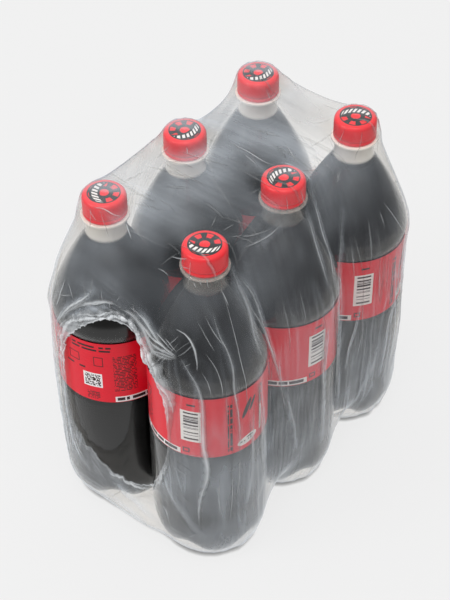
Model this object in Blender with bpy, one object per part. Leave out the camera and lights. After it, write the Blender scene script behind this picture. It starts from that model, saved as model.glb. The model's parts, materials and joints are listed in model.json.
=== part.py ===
"""Six one-litre soda bottles in a shrink-film sleeve.

Two columns of three blow-moulded bottles stand on their petal feet.  Each bottle
holds its drink and carries a wrap label and a screw cap.  One loop of shrink film
runs under the feet, up the long sides and over the caps, and has shrunk in at
both short ends to a round opening.  Metres, +Z up, origin at the middle of the
underside, long side of the pack along Y.
"""

import math

import bpy
import numpy as np

# --- Driving dimensions, in metres -------------------------------------------------

BOTTLE_PITCH = 0.0840        # axis to axis, both ways
COLUMNS_X = 2
ROWS_Y = 3
FOOT_LIFT = 0.0008           # feet above the floor: the film and a small gap

FOOT_EDGE_RADIUS = 0.0270    # the feet touch the film out to here

FEET = 5
SIDES_PER_FOOT = 3           # one valley edge, two foot edges
SIDES = FEET * SIDES_PER_FOOT

BODY_RADIUS = 0.0416
BULGE_RADIUS = 0.0418        # the widest ring, just above the label
PANEL_RADIUS = 0.0410        # the recess that the label sits in
NECK_RADIUS = 0.0138
MOUTH_RADIUS = 0.0108
FINISH_RADIUS = 0.0124       # outside of the mouth, under the cap
SUPPORT_RING_RADIUS = 0.0165
WALL = 0.0009                # bottle wall
DRINK_GAP = 0.0003           # between the drink and the wall
SHOULDER_DRINK_GAP = 0.00045    # the same gap, measured level across the sloping shoulder
DRINK_LEVEL = 0.2430
DRINK_TOP_RADIUS = 0.0132

BASE_CENTRE_Z = 0.0095       # underside of the base, above the feet
PANEL_BOTTOM_Z = 0.1165
PANEL_TOP_Z = 0.1765
PANEL_STEP = 0.0025          # height of the slope into the panel
MOUTH_Z = 0.2720
BORE_BOTTOM_Z = 0.2545       # the straight bore of the mouth ends here

LABEL_INSIDE = 0.0413
LABEL_OUTSIDE = 0.0417
LABEL_BOTTOM_Z = 0.1178
LABEL_TOP_Z = 0.1752

CAP_RADIUS = 0.0150
CAP_TOP_RADIUS = 0.0130
CAP_BOTTOM_Z = 0.2592
CAP_SHOULDER_Z = 0.2728
CAP_TOP_Z = 0.2750
CAP_BORE = 0.0128
CAP_CEILING_Z = 0.2724

# How far each bottle is turned about its own axis, in degrees, front to back
# and then left column before right column.
BOTTLE_TURNS = ((12.0, 118.0, 205.0), (-78.0, -25.0, -49.0))

FILM_THICKNESS = 0.0005
FILM_CLEARANCE = 0.0003      # between the film's inner skin and what it wraps
OPENING_CENTRE = (-0.0040, 0.1385)     # x and z of the opening at each short end
OPENING_HALF = (0.0450, 0.0805)
OPENING_SQUARENESS = 2.4     # exponent of its rounded outline

SHARP_EDGE = 35.0            # degrees; edges that bend less are shaded smooth

# --- Outline of a bottle ----------------------------------------------------------
# Rings are (radius, height at a foot, height at a valley), from the middle of the
# underside up the outside.

BASE_RINGS = (
    (0.0, BASE_CENTRE_Z, BASE_CENTRE_Z),
    (0.0135, 0.0085, 0.0095),
    (0.0260, 0.0, 0.0085),
    (0.0385, 0.0125, 0.0170),
    (BODY_RADIUS, 0.0310, 0.0310),
)
SHOULDER_RINGS = (           # between the label panel and the neck
    (BULGE_RADIUS, 0.1795),
    (0.0406, 0.1895),
    (0.0370, 0.2000),
    (0.0305, 0.2145),
    (0.0160, 0.2400),
)
NECK_RINGS = (
    (NECK_RADIUS + 0.0001, 0.2475),
    (NECK_RADIUS, 0.2566),
    (SUPPORT_RING_RADIUS, 0.2570),
    (SUPPORT_RING_RADIUS, 0.2586),
    (FINISH_RADIUS, 0.2589),
    (FINISH_RADIUS, MOUTH_Z),
)
INNER_BASE_RINGS = (         # the same base, one wall further in
    (0.0, BASE_CENTRE_Z + WALL, BASE_CENTRE_Z + WALL),
    (0.0258, 0.0014, 0.0094),
    (0.0372, 0.0133, 0.0178),
    (PANEL_RADIUS - WALL, 0.0320, 0.0320),
)
INNER_SHOULDER_RINGS = (
    (PANEL_RADIUS - WALL, 0.1850),
    (0.0361, 0.1993),
    (0.0296, 0.2140),
    (0.0152, 0.2392),
)


def clear_scene():
    for item in list(bpy.data.objects):
        bpy.data.objects.remove(item)


def finish_of(name, colour, roughness, alpha=1.0):
    material = bpy.data.materials.new(name)
    material.use_nodes = True
    shader = material.node_tree.nodes["Principled BSDF"]
    shader.inputs["Base Color"].default_value = (*colour, 1.0)
    shader.inputs["Roughness"].default_value = roughness
    shader.inputs["Metallic"].default_value = 0.0
    shader.inputs["Alpha"].default_value = alpha
    return material


def solid(name, points, faces, material):
    mesh = bpy.data.meshes.new(name)
    mesh.from_pydata([tuple(point) for point in points], [], faces)
    mesh.materials.append(material)
    mesh.shade_smooth()
    mesh.set_sharp_from_angle(angle=math.radians(SHARP_EDGE))
    return mesh


def turned_mesh(name, rings, material, closed=False):
    """A turned solid from rings of (radius, foot height, valley height).

    Rings run up the outside.  A ring of no radius is a single point, and a closed
    solid joins its last ring to its first, as a sleeve does.
    """
    points = []
    ring_points = []
    for radius, foot_z, valley_z in rings:
        if radius == 0.0:
            ring_points.append([len(points)] * SIDES)
            points.append((0.0, 0.0, foot_z))
            continue
        ring_points.append(list(range(len(points), len(points) + SIDES)))
        for side in range(SIDES):
            angle = math.tau * side / SIDES
            height = valley_z if side % SIDES_PER_FOOT == 0 else foot_z
            points.append((radius * math.cos(angle), radius * math.sin(angle), height))

    faces = []
    pairs = list(zip(ring_points, ring_points[1:]))
    if closed:
        pairs.append((ring_points[-1], ring_points[0]))
    for low, high in pairs:
        for side in range(SIDES):
            following = (side + 1) % SIDES
            corners = (low[side], low[following], high[following], high[side])
            for triangle in ((corners[0], corners[1], corners[2]), (corners[0], corners[2], corners[3])):
                if len(set(triangle)) == 3:
                    faces.append(triangle)
    return solid(name, points, faces, material)


def level(rings):
    """Rings that are the same height all round."""
    return [(radius, height, height) for radius, height in rings]


def bottle_mesh(material):
    outside = list(BASE_RINGS)
    outside += level([
        (BODY_RADIUS, PANEL_BOTTOM_Z - PANEL_STEP),
        (PANEL_RADIUS, PANEL_BOTTOM_Z),
        (PANEL_RADIUS, PANEL_TOP_Z),
    ])
    outside += level(SHOULDER_RINGS) + level(NECK_RINGS)
    inside = level([(MOUTH_RADIUS, MOUTH_Z), (MOUTH_RADIUS, BORE_BOTTOM_Z)])
    inside += level(reversed(INNER_SHOULDER_RINGS))
    inside += list(reversed(INNER_BASE_RINGS))
    return turned_mesh("bottle", outside + inside, material)


def drink_mesh(material):
    """The drink fills the bottle to its level, a small gap inside the wall."""
    rings = [(max(radius - DRINK_GAP, 0.0), foot_z + DRINK_GAP, valley_z + DRINK_GAP)
             for radius, foot_z, valley_z in INNER_BASE_RINGS]
    rings += level((radius - SHOULDER_DRINK_GAP, height) for radius, height in INNER_SHOULDER_RINGS)
    rings += level([(DRINK_TOP_RADIUS, DRINK_LEVEL), (0.0, DRINK_LEVEL)])
    return turned_mesh("drink", rings, material)


def label_mesh(material):
    rings = level([
        (LABEL_OUTSIDE, LABEL_BOTTOM_Z),
        (LABEL_OUTSIDE, LABEL_TOP_Z),
        (LABEL_INSIDE, LABEL_TOP_Z),
        (LABEL_INSIDE, LABEL_BOTTOM_Z),
    ])
    return turned_mesh("label", rings, material, closed=True)


def cap_mesh(material):
    rings = level([
        (0.0, CAP_CEILING_Z),
        (CAP_BORE, CAP_CEILING_Z),
        (CAP_BORE, CAP_BOTTOM_Z),
        (CAP_RADIUS, CAP_BOTTOM_Z),
        (CAP_RADIUS, CAP_SHOULDER_Z),
        (CAP_TOP_RADIUS, CAP_TOP_Z),
        (0.0, CAP_TOP_Z),
    ])
    return turned_mesh("cap", rings, material)


def bottle_centres():
    """Column, row, x and y of every bottle."""
    for column in range(COLUMNS_X):
        for row in range(ROWS_Y):
            x = (column - (COLUMNS_X - 1) / 2) * BOTTLE_PITCH
            y = (row - (ROWS_Y - 1) / 2) * BOTTLE_PITCH
            yield column, row, x, y


def add_bottles():
    clear_plastic = finish_of("clear_bottle_plastic", (0.80, 0.84, 0.86), 0.08, alpha=0.3)
    dark_drink = finish_of("dark_drink", (0.006, 0.004, 0.004), 0.05)
    red_label = finish_of("printed_red_film", (0.62, 0.02, 0.04), 0.35)
    red_cap = finish_of("red_cap_plastic", (0.72, 0.02, 0.03), 0.30)
    meshes = {
        "bottle": bottle_mesh(clear_plastic),
        "drink": drink_mesh(dark_drink),
        "label": label_mesh(red_label),
        "cap": cap_mesh(red_cap),
    }
    for number, (column, row, x, y) in enumerate(bottle_centres(), start=1):
        for kind, mesh in meshes.items():
            piece = bpy.data.objects.new(f"{kind}_{number}", mesh)
            piece.location = (x, y, FOOT_LIFT)
            piece.rotation_euler = (0.0, 0.0, math.radians(BOTTLE_TURNS[column][row]))
            bpy.context.collection.objects.link(piece)


# --- Film -------------------------------------------------------------------------
# The film is found on rays that leave the pack squarely to its sides.  On each ray
# it lies where the tension of its neighbours draws it, but never inside a bottle.

BOTTOM_RAYS_X = (0.0420, 0.0, -0.0420)
BOTTOM_RAY_Z = 0.0400
FLAT_UNDERSIDE = (0.0700, 0.1116)      # half the rectangle that lies on the floor
LOW_CORNER = (0.0510, 0.0330)
LOW_CORNER_ANGLES = (29.5, 45.0, 66.0)     # degrees up from straight down
LOW_FAN_DZ = -0.86           # steeper rays than this look straight down at the feet
SIDE_RAYS_Z = (0.0380, 0.1100, 0.1800)
HIGH_CORNER = (0.0480, 0.1850)
HIGH_CORNER_ANGLES = (18.0, 40.0, 60.0)    # degrees up from level
TOP_RAYS_X = (-0.0579, -0.0261, 0.0, 0.0261, 0.0579)
TOP_RAY_Z = 0.2350
STRAIGHT_ROWS_Y = (-0.0999, -0.0840, -0.0681, -0.0420, -0.0159, 0.0,
                   0.0159, 0.0420, 0.0681, 0.0840, 0.0999)
CAP_PATCH_RADIUS = 0.0230    # the film lies level over a cap out to here
END_ROW_Y = 0.1010
FACE_MARGIN = 0.0080         # the flat end reaches this far past the ray starts
END_ROW_ANGLES = (32.0, 64.0)          # degrees from square to the sleeve, towards the end
REACH = 0.140                # longest ray
MARCH_STEPS = 400
RELAX_PASSES = 500
RELAX_STEP = 0.7
LIFT_PASSES = 40             # passes that hold whole facets clear, not only corners
SLIGHT = 0.01                # a ray that falls less steeply than this never meets the floor


def wrapped_outline():
    """Radius and height of a bottle with its label and cap, from foot to cap."""
    outline = [(0.0, 0.0), (FOOT_EDGE_RADIUS, 0.0)]
    outline += [(radius, foot_z) for radius, foot_z, _ in BASE_RINGS[3:]]
    outline += [(LABEL_OUTSIDE, LABEL_BOTTOM_Z), (LABEL_OUTSIDE, LABEL_TOP_Z)]
    outline += list(SHOULDER_RINGS) + list(NECK_RINGS[:4])
    outline += [(CAP_RADIUS, CAP_BOTTOM_Z), (CAP_RADIUS, CAP_SHOULDER_Z), (CAP_TOP_RADIUS, CAP_TOP_Z)]
    return outline + [(0.0, CAP_TOP_Z)]


def distance_to_bottles(points, cap_patch=False):
    """Distance from points to the nearest wrapped bottle, negative inside it."""
    outline = np.array(wrapped_outline()) + (0.0, FOOT_LIFT)
    if cap_patch:
        outline[-3:-1, 0] = CAP_PATCH_RADIUS
    starts, ends = outline[:-1], outline[1:]
    runs = ends - starts
    lengths_squared = (runs ** 2).sum(axis=1)
    axes = [np.hypot(points[:, 0] - x, points[:, 1] - y) for _, _, x, y in bottle_centres()]
    radius = np.min(axes, axis=0)
    here = np.stack([radius, points[:, 2]], axis=1)[:, None, :] - starts
    along = np.clip((here * runs).sum(axis=2) / lengths_squared, 0.0, 1.0)
    gaps = np.linalg.norm(here - along[..., None] * runs, axis=2).min(axis=1)
    limit = np.interp(points[:, 2], outline[1:-1, 1], outline[1:-1, 0])
    within_height = (points[:, 2] > outline[0, 1]) & (points[:, 2] < outline[-1, 1])
    return np.where((radius < limit) & within_height, -gaps, gaps)


def sleeve_loop():
    """Start and direction, in x and z, of the rays round one section of the sleeve."""
    loop = [((x, BOTTOM_RAY_Z), (0.0, -1.0)) for x in BOTTOM_RAYS_X]

    def low_corner(side, angles):
        for turn in map(math.radians, angles):
            loop.append(((side * LOW_CORNER[0], LOW_CORNER[1]), (side * math.sin(turn), -math.cos(turn))))

    def high_corner(side, angles):
        for turn in map(math.radians, angles):
            loop.append(((side * HIGH_CORNER[0], HIGH_CORNER[1]), (side * math.cos(turn), math.sin(turn))))

    low_corner(-1, LOW_CORNER_ANGLES)
    loop += [((-LOW_CORNER[0], z), (-1.0, 0.0)) for z in SIDE_RAYS_Z]
    high_corner(-1, HIGH_CORNER_ANGLES)
    loop += [((x, TOP_RAY_Z), (0.0, 1.0)) for x in TOP_RAYS_X]
    high_corner(1, reversed(HIGH_CORNER_ANGLES))
    loop += [((LOW_CORNER[0], z), (1.0, 0.0)) for z in reversed(SIDE_RAYS_Z)]
    low_corner(1, reversed(LOW_CORNER_ANGLES))
    return loop


def opening_point(x, z):
    """The point of the opening's rim that lies in the direction of x and z."""
    across = (x - OPENING_CENTRE[0]) / OPENING_HALF[0]
    up = (z - OPENING_CENTRE[1]) / OPENING_HALF[1]
    power = OPENING_SQUARENESS
    size = (abs(across) ** power + abs(up) ** power) ** (1 / power)
    rim_x = OPENING_CENTRE[0] + OPENING_HALF[0] * across / size
    rim_z = OPENING_CENTRE[1] + OPENING_HALF[1] * up / size
    return rim_x, rim_z


def film_rays():
    """Grids of ray starts and directions: rows from the front opening to the back one."""
    loop = sleeve_loop()

    def end_rows(end):
        y = end * END_ROW_Y
        edge = [(x + FACE_MARGIN * dx, z + FACE_MARGIN * dz) for (x, z), (dx, dz) in loop]
        rim = [opening_point(*place) for place in edge]
        rows = [[((x, y, z), (0.0, end, 0.0)) for x, z in places] for places in (rim, edge)]
        for turn in map(math.radians, reversed(END_ROW_ANGLES)):
            level_part, end_part = math.cos(turn), end * math.sin(turn)
            rows.append([((x, y, z), (level_part * dx, end_part, level_part * dz))
                         for (x, z), (dx, dz) in loop])
        return rows

    def row_y(y, dz):
        outermost = abs(y) == STRAIGHT_ROWS_Y[-1]
        return math.copysign(FLAT_UNDERSIDE[1], y) if outermost and dz < LOW_FAN_DZ else y

    rows = end_rows(-1)
    rows += [[((x, row_y(y, dz), z), (dx, 0.0, dz)) for (x, z), (dx, dz) in loop] for y in STRAIGHT_ROWS_Y]
    rows += reversed(end_rows(1))
    grid = np.array(rows)
    return grid[:, :, 0], grid[:, :, 1]


def grid_faces(rows, columns):
    """Triangles between neighbouring rows of a sleeve of points, facing outwards."""
    index = np.arange(rows * columns).reshape(rows, columns)
    following = np.roll(index, -1, axis=1)
    first, second = index[:-1], following[:-1]
    third, fourth = following[1:], index[1:]
    lower = np.stack([first, second, third], axis=-1).reshape(-1, 3)
    upper = np.stack([first, third, fourth], axis=-1).reshape(-1, 3)
    return np.concatenate([lower, upper])


def sample_weights(steps=7):
    """Places on a triangle, as weights of its three corners."""
    weights = []
    for first in range(steps + 1):
        for second in range(steps + 1 - first):
            weights.append((first / steps, second / steps, (steps - first - second) / steps))
    return np.array(weights)


def relaxed_film():
    """The middle surface of the film: a grid of points, its triangles, and its flat part."""
    starts, directions = film_rays()
    clearance = FILM_CLEARANCE + FILM_THICKNESS / 2
    floor_z = FILM_THICKNESS / 2

    reach = np.linspace(0.0, REACH, MARCH_STEPS)
    trial = starts[:, :, None] + reach[:, None] * directions[:, :, None]
    blocked = distance_to_bottles(trial.reshape(-1, 3), cap_patch=True).reshape(trial.shape[:3]) < clearance
    last_blocked = MARCH_STEPS - 1 - np.argmax(blocked[:, :, ::-1], axis=2)
    least = np.where(blocked.any(axis=2), reach[last_blocked], 0.0)

    down = np.minimum(directions[..., 2], -SLIGHT)
    most = np.where(directions[..., 2] < -SLIGHT, (floor_z - starts[..., 2]) / down, REACH)
    landing = np.abs(starts + most[..., None] * directions)
    flat = (directions[..., 2] < LOW_FAN_DZ) & (landing[..., 0] <= FLAT_UNDERSIDE[0])
    flat &= (landing[..., 1] <= FLAT_UNDERSIDE[1]) & (directions[..., 1] == 0.0)
    least = np.where(flat, most, np.minimum(least, most))

    distance = np.maximum(least, FILM_THICKNESS)
    for _ in range(RELAX_PASSES):
        points = starts + distance[..., None] * directions
        drawn = ((tension_targets(points) - starts) * directions).sum(axis=2)
        distance = np.clip(distance + RELAX_STEP * (drawn - distance), least, most)

    faces = grid_faces(*distance.shape)
    for _ in range(LIFT_PASSES):
        points = (starts + distance[..., None] * directions).reshape(-1, 3)
        distance = np.minimum(distance + facet_lift(points, faces, clearance).reshape(distance.shape), most)
    return starts + distance[..., None] * directions, faces, flat


def tension_targets(points):
    """Where each point would lie if only the film next to it pulled on it.

    Each neighbour pulls as hard as the strip of film towards it is wide and short.
    """
    left, right = np.roll(points, 1, axis=1), np.roll(points, -1, axis=1)
    before = np.concatenate([points[:1], points[:-1]])
    after = np.concatenate([points[1:], points[-1:]])
    neighbours = (left, right, before, after)
    gaps = [np.linalg.norm(place - points, axis=2) for place in neighbours]
    width = (gaps[0] + gaps[1]) / 2
    length = (gaps[2] + gaps[3]) / 2
    pulls = [
        strip / np.maximum(gap, FILM_CLEARANCE) * (gap > 0.0)
        for gap, strip in zip(gaps, (length, length, width, width))
    ]
    return sum(place * pull[..., None] for place, pull in zip(neighbours, pulls)) / sum(pulls)[..., None]


def facet_lift(points, faces, clearance):
    """How far to let out the corners of each facet that passes too close to a bottle."""
    weights = sample_weights()
    samples = np.einsum("wc,fcx->fwx", weights, points[faces])
    short = clearance - distance_to_bottles(samples.reshape(-1, 3)).reshape(len(faces), -1)
    share = weights / (weights ** 2).sum(axis=1)[:, None]
    lift = np.zeros(len(points))
    for corner in range(3):
        np.maximum.at(lift, faces[:, corner], (np.maximum(short, 0.0) * share[:, corner]).max(axis=1))
    return lift


def point_normals(points, faces):
    corners = points[faces]
    face_normals = np.cross(corners[:, 1] - corners[:, 0], corners[:, 2] - corners[:, 0])
    normals = np.zeros_like(points)
    for corner in range(3):
        np.add.at(normals, faces[:, corner], face_normals)
    return normals / np.linalg.norm(normals, axis=1)[:, None]


def add_film():
    grid, faces, flat = relaxed_film()
    rows, columns = grid.shape[:2]
    middle = grid.reshape(-1, 3)
    offset = point_normals(middle, faces) * FILM_THICKNESS / 2
    on_floor = flat.reshape(-1)
    offset[on_floor] = (0.0, 0.0, -FILM_THICKNESS / 2)
    outer = middle + offset
    inner = middle - offset
    outer[:, 2] = np.maximum(outer[:, 2], 0.0)
    inner[:, 2] = np.maximum(inner[:, 2], FILM_THICKNESS)

    count = len(middle)
    triangles = [tuple(face) for face in faces.tolist()]
    triangles += [tuple(reversed([corner + count for corner in face])) for face in faces.tolist()]
    for start, flip in ((0, False), ((rows - 1) * columns, True)):
        for column in range(columns):
            here = start + column
            following = start + (column + 1) % columns
            for rim in ((here, here + count, following + count), (here, following + count, following)):
                triangles.append(tuple(reversed(rim)) if flip else rim)

    film_finish = finish_of("clear_shrink_film", (0.88, 0.88, 0.87), 0.30, alpha=0.3)
    mesh = solid("film", np.concatenate([outer, inner]), triangles, film_finish)
    film = bpy.data.objects.new("film", mesh)
    bpy.context.collection.objects.link(film)


clear_scene()
add_bottles()
add_film()
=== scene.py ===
import json
import math

import bmesh
import bpy
import numpy as np
from mathutils import Matrix, Vector, noise
from mathutils.bvhtree import BVHTree

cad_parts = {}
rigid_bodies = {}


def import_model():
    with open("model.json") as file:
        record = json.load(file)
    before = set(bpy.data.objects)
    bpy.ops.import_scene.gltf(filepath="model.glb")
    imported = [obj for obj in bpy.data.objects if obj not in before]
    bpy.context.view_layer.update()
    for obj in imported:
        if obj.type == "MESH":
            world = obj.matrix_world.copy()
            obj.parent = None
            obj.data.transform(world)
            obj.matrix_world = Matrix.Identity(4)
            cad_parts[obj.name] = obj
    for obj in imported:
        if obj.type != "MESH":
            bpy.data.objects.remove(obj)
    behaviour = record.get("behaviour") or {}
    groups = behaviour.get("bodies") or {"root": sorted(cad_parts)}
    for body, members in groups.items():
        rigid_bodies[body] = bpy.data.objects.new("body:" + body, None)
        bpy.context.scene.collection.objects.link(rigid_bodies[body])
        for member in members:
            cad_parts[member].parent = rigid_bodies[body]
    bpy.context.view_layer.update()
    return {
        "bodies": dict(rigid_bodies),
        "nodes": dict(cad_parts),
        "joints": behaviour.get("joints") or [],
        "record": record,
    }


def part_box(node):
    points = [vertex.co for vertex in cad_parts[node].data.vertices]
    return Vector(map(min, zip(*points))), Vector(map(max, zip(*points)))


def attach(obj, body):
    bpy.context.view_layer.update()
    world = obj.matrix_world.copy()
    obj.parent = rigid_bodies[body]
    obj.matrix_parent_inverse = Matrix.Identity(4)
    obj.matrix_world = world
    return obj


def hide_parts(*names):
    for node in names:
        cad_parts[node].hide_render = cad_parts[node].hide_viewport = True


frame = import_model()


# --- Table, light and camera -------------------------------------------------------
# The pack stands on a white table under a large soft dome of light. Past the table's
# edge the room is dark up to eye height, which draws a dark ring round each shoulder.

TABLE_HALF = 9.0
TABLE_WHITE = 0.862
TABLE_GLOW = 0.90            # share of the table's white that no shadow takes away
LIT_RADIUS = 0.55            # the lit part of the table, as its reflections show it
DARK_RADIUS = 0.95
DARK_TABLE = 0.16
CONTACT_REACH = 0.0035       # how far from what stands on it the table darkens
CONTACT_DARK = 0.30
CONTACT_FULL = 0.35          # share of open sky at which it is darkest
ROOM_DARK = 0.13
DOME_WHITE = 1.05
DOME_START = 0.20            # sine of the height above the horizon
DOME_FULL = 0.50
SOFTBOXES = {                # place, size and power
    "front_softbox": ((-0.9, -1.7, 1.3), 0.9, 15.0),
    "top_softbox": ((0.3, -0.5, 1.9), 0.7, 8.0),
}
CAMERA_TARGET = Vector((0.0, -0.01041, 0.14744))
CAMERA_AZIMUTH = 38.229
CAMERA_ELEVATION = 43.555
CAMERA_ROLL = -0.572
CAMERA_DISTANCE = 1.16779
CAMERA_LENS = 96.85


def fill_sockets(tree, node, sockets):
    """Sets each socket of the node, or joins it to another node's."""
    for socket, value in sockets.items():
        if isinstance(value, bpy.types.NodeSocket):
            tree.links.new(value, node.inputs[socket])
        else:
            node.inputs[socket].default_value = value


def add_node(tree, kind, sockets=None, **settings):
    node = tree.nodes.new("ShaderNode" + kind)
    for name, value in settings.items():
        setattr(node, name, value)
    fill_sockets(tree, node, sockets or {})
    return node


def maths(tree, operation, *values, clamp=False):
    return add_node(tree, "Math", dict(enumerate(values)), operation=operation, use_clamp=clamp).outputs[0]


def spread(tree, value, low, high, start=0.3, stop=0.7, curve="LINEAR"):
    """Carries a number that runs from start to stop over to low to high."""
    ends = {"Value": value, "From Min": start, "From Max": stop, "To Min": low, "To Max": high}
    return add_node(tree, "MapRange", ends, interpolation_type=curve).outputs["Result"]


def blend(tree, share, first, second):
    """A number between two, nearer the second for a larger share."""
    return add_node(tree, "Mix", {"Factor": share, 2: first, 3: second}, data_type="FLOAT").outputs[0]


def add_table():
    mesh = bpy.data.meshes.new("table")
    corners = [(x * TABLE_HALF, y * TABLE_HALF, 0) for x, y in ((-1, -1), (1, -1), (1, 1), (-1, 1))]
    mesh.from_pydata(corners, [], [(0, 1, 2, 3)])
    table = bpy.data.objects.new("table", mesh)
    bpy.context.scene.collection.objects.link(table)

    material = bpy.data.materials.new("white_table")
    material.use_nodes = True
    tree = material.node_tree
    tree.nodes.clear()
    place = add_node(tree, "NewGeometry").outputs["Position"]
    distance = add_node(tree, "VectorMath", {0: place}, operation="LENGTH").outputs["Value"]
    white = TABLE_WHITE * TABLE_GLOW
    reflected = spread(tree, distance, white, DARK_TABLE, LIT_RADIUS, DARK_RADIUS, "SMOOTHSTEP")
    seen = add_node(tree, "LightPath").outputs
    strength = blend(tree, seen["Is Camera Ray"], reflected, white)
    sky = add_node(tree, "AmbientOcclusion", {"Distance": CONTACT_REACH}, samples=8).outputs["AO"]
    contact = spread(tree, sky, CONTACT_DARK, 1.0, CONTACT_FULL, 1.0)
    outside_film = maths(tree, "LESS_THAN", seen["Transparent Depth"], 0.5)
    shaded = maths(tree, "MULTIPLY", strength, blend(tree, outside_film, 1.0, contact))
    glow = add_node(tree, "Emission", {"Strength": shaded})
    cloth = add_node(tree, "BsdfDiffuse", {"Color": (TABLE_WHITE * (1 - TABLE_GLOW),) * 3 + (1.0,)})
    both = add_node(tree, "AddShader", {0: glow.outputs[0], 1: cloth.outputs[0]})
    add_node(tree, "OutputMaterial", {"Surface": both.outputs[0]})
    mesh.materials.append(material)


def light_room():
    world = bpy.data.worlds.new("soft_dome")
    bpy.context.scene.world = world
    world.use_nodes = True
    tree = world.node_tree
    direction = add_node(tree, "TexCoord").outputs["Generated"]
    height = add_node(tree, "SeparateXYZ", {0: direction}).outputs["Z"]
    dome = spread(tree, height, ROOM_DARK, DOME_WHITE, DOME_START, DOME_FULL, "SMOOTHSTEP")
    seen = add_node(tree, "LightPath").outputs["Is Camera Ray"]
    backdrop = blend(tree, seen, dome, TABLE_WHITE)
    fill_sockets(tree, tree.nodes["Background"], {"Strength": backdrop, "Color": (1.0, 1.0, 1.0, 1.0)})

    for name, (place, size, power) in SOFTBOXES.items():
        lamp = bpy.data.lights.new(name, "AREA")
        lamp.shape = "SQUARE"
        lamp.size = size
        lamp.energy = power
        holder = bpy.data.objects.new(name, lamp)
        holder.location = place
        holder.rotation_euler = (Vector(place) - CAMERA_TARGET).to_track_quat("Z", "Y").to_euler()
        bpy.context.scene.collection.objects.link(holder)


def add_camera():
    azimuth, elevation, roll = map(math.radians, (CAMERA_AZIMUTH, CAMERA_ELEVATION, CAMERA_ROLL))
    back = Vector((math.sin(azimuth) * math.cos(elevation),
                   -math.cos(azimuth) * math.cos(elevation),
                   math.sin(elevation)))
    level_right = Vector((0, 0, 1)).cross(back).normalized()
    level_up = back.cross(level_right)
    right = math.cos(roll) * level_right + math.sin(roll) * level_up
    up = math.cos(roll) * level_up - math.sin(roll) * level_right
    lens = bpy.data.cameras.new("camera")
    lens.lens = CAMERA_LENS
    lens.clip_end = 50.0
    camera = bpy.data.objects.new("camera", lens)
    turned = Matrix((right, up, back)).transposed().to_4x4()
    camera.matrix_world = Matrix.Translation(CAMERA_TARGET + back * CAMERA_DISTANCE) @ turned
    bpy.context.scene.collection.objects.link(camera)
    bpy.context.scene.camera = camera


add_table()
light_room()
add_camera()
scene = bpy.context.scene
scene.view_settings.view_transform = "Standard"
scene.view_settings.look = "None"
scene.cycles.transparent_max_bounces = 32


# --- Bottles -----------------------------------------------------------------------
# Blow-moulded clear PET: five petal feet, a recessed label panel, a round shoulder and
# a short neck with its support ring. Each one is a closed skin with a real wall.

STAND = 0.0008               # the feet stand on the film, this far above the table
TURNS = {1: 12.0, 2: 118.0, 3: 205.0, 4: -78.0, 5: -25.0, 6: -49.0}   # degrees
FEET = 5
SIDES = 120
WALL = 0.0005
BODY_RADIUS = 0.0416
BODY_START = 0.0310
FOOT_LINE = ((0.0, 0.0095), (0.0080, 0.0093), (0.0135, 0.0082), (0.0195, 0.0024), (0.0232, 0.0002),
             (0.0268, 0.0001), (0.0325, 0.0040), (0.0378, 0.0118), (0.0406, 0.0208),
             (BODY_RADIUS, BODY_START))
VALLEY_RADII = (0.0, 0.0135, 0.0260, 0.0335, 0.0385, 0.0408, BODY_RADIUS)
VALLEY_HEIGHTS = (0.0095, 0.0098, 0.0102, 0.0135, 0.0188, 0.0245, BODY_START)
PANEL_LINE = ((BODY_RADIUS, 0.0310), (BODY_RADIUS, 0.0700), (BODY_RADIUS, 0.1135), (0.0414, 0.1150),
              (0.0410, 0.1162), (0.0410, 0.1450), (0.0410, 0.1768), (0.0413, 0.1780))
SHOULDER_LINE = ((0.0413, 0.1780), (0.0418, 0.1800), (0.0416, 0.1838), (0.0406, 0.1895), (0.0370, 0.2000),
                 (0.0305, 0.2145), (0.0230, 0.2288), (0.0168, 0.2395), (0.0145, 0.2440), (0.0139, 0.2478))
NECK_LINE = ((0.0139, 0.2478), (0.0138, 0.2560), (0.0140, 0.2566), (0.0162, 0.2569), (0.0165, 0.2572),
             (0.0165, 0.2584), (0.0162, 0.2587), (0.0126, 0.2589), (0.0124, 0.2592), (0.0124, 0.2718),
             (0.0122, 0.2720))
BORE_LINE = ((0.0111, 0.2720), (0.0109, 0.2716), (0.0108, 0.2560), (0.0118, 0.2500), (0.0130, 0.2462))
WALL_TURNS_IN = 0.2440       # above this the wall thickens towards the mouth
RING_MIDDLE = 0.2586         # the support ring is thick, so it looks milky
RING_HALF = 0.0016
RING_MILK = 0.16
NECK_PAINTED_LIGHT = {1: 0.60, 2: 0.62, 3: 0.70, 4: 0.06, 5: 0.05, 6: 0.82}   # painted light: how much paler each neck is made, for the light that shows through it from behind
NECK_LIGHT_EDGE = 0.0012


def smooth_line(points, count):
    """A round curve through points, cut into count even steps."""
    line = np.array(points, float)
    ends = np.concatenate([[2 * line[0] - line[1]], line, [2 * line[-1] - line[-2]]])
    curve = []
    for before, start, stop, after in zip(ends, ends[1:], ends[2:], ends[3:]):
        run = np.linalg.norm(stop - start)
        pull_in = (stop - before) * run / (run + np.linalg.norm(start - before))
        pull_out = (after - start) * run / (run + np.linalg.norm(after - stop))
        t = np.linspace(0.0, 1.0, 24, endpoint=False)[:, None]
        curve.append(start * (2 * t**3 - 3 * t**2 + 1) + stop * (3 * t**2 - 2 * t**3)
                     + pull_in * (t**3 - 2 * t**2 + t) + pull_out * (t**3 - t**2))
    curve = np.concatenate(curve + [line[-1:]])
    along = np.concatenate([[0.0], np.cumsum(np.linalg.norm(np.diff(curve, axis=0), axis=1))])
    even = np.linspace(0.0, along[-1], count)
    return np.stack([np.interp(even, along, column) for column in curve.T], axis=1)


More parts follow.
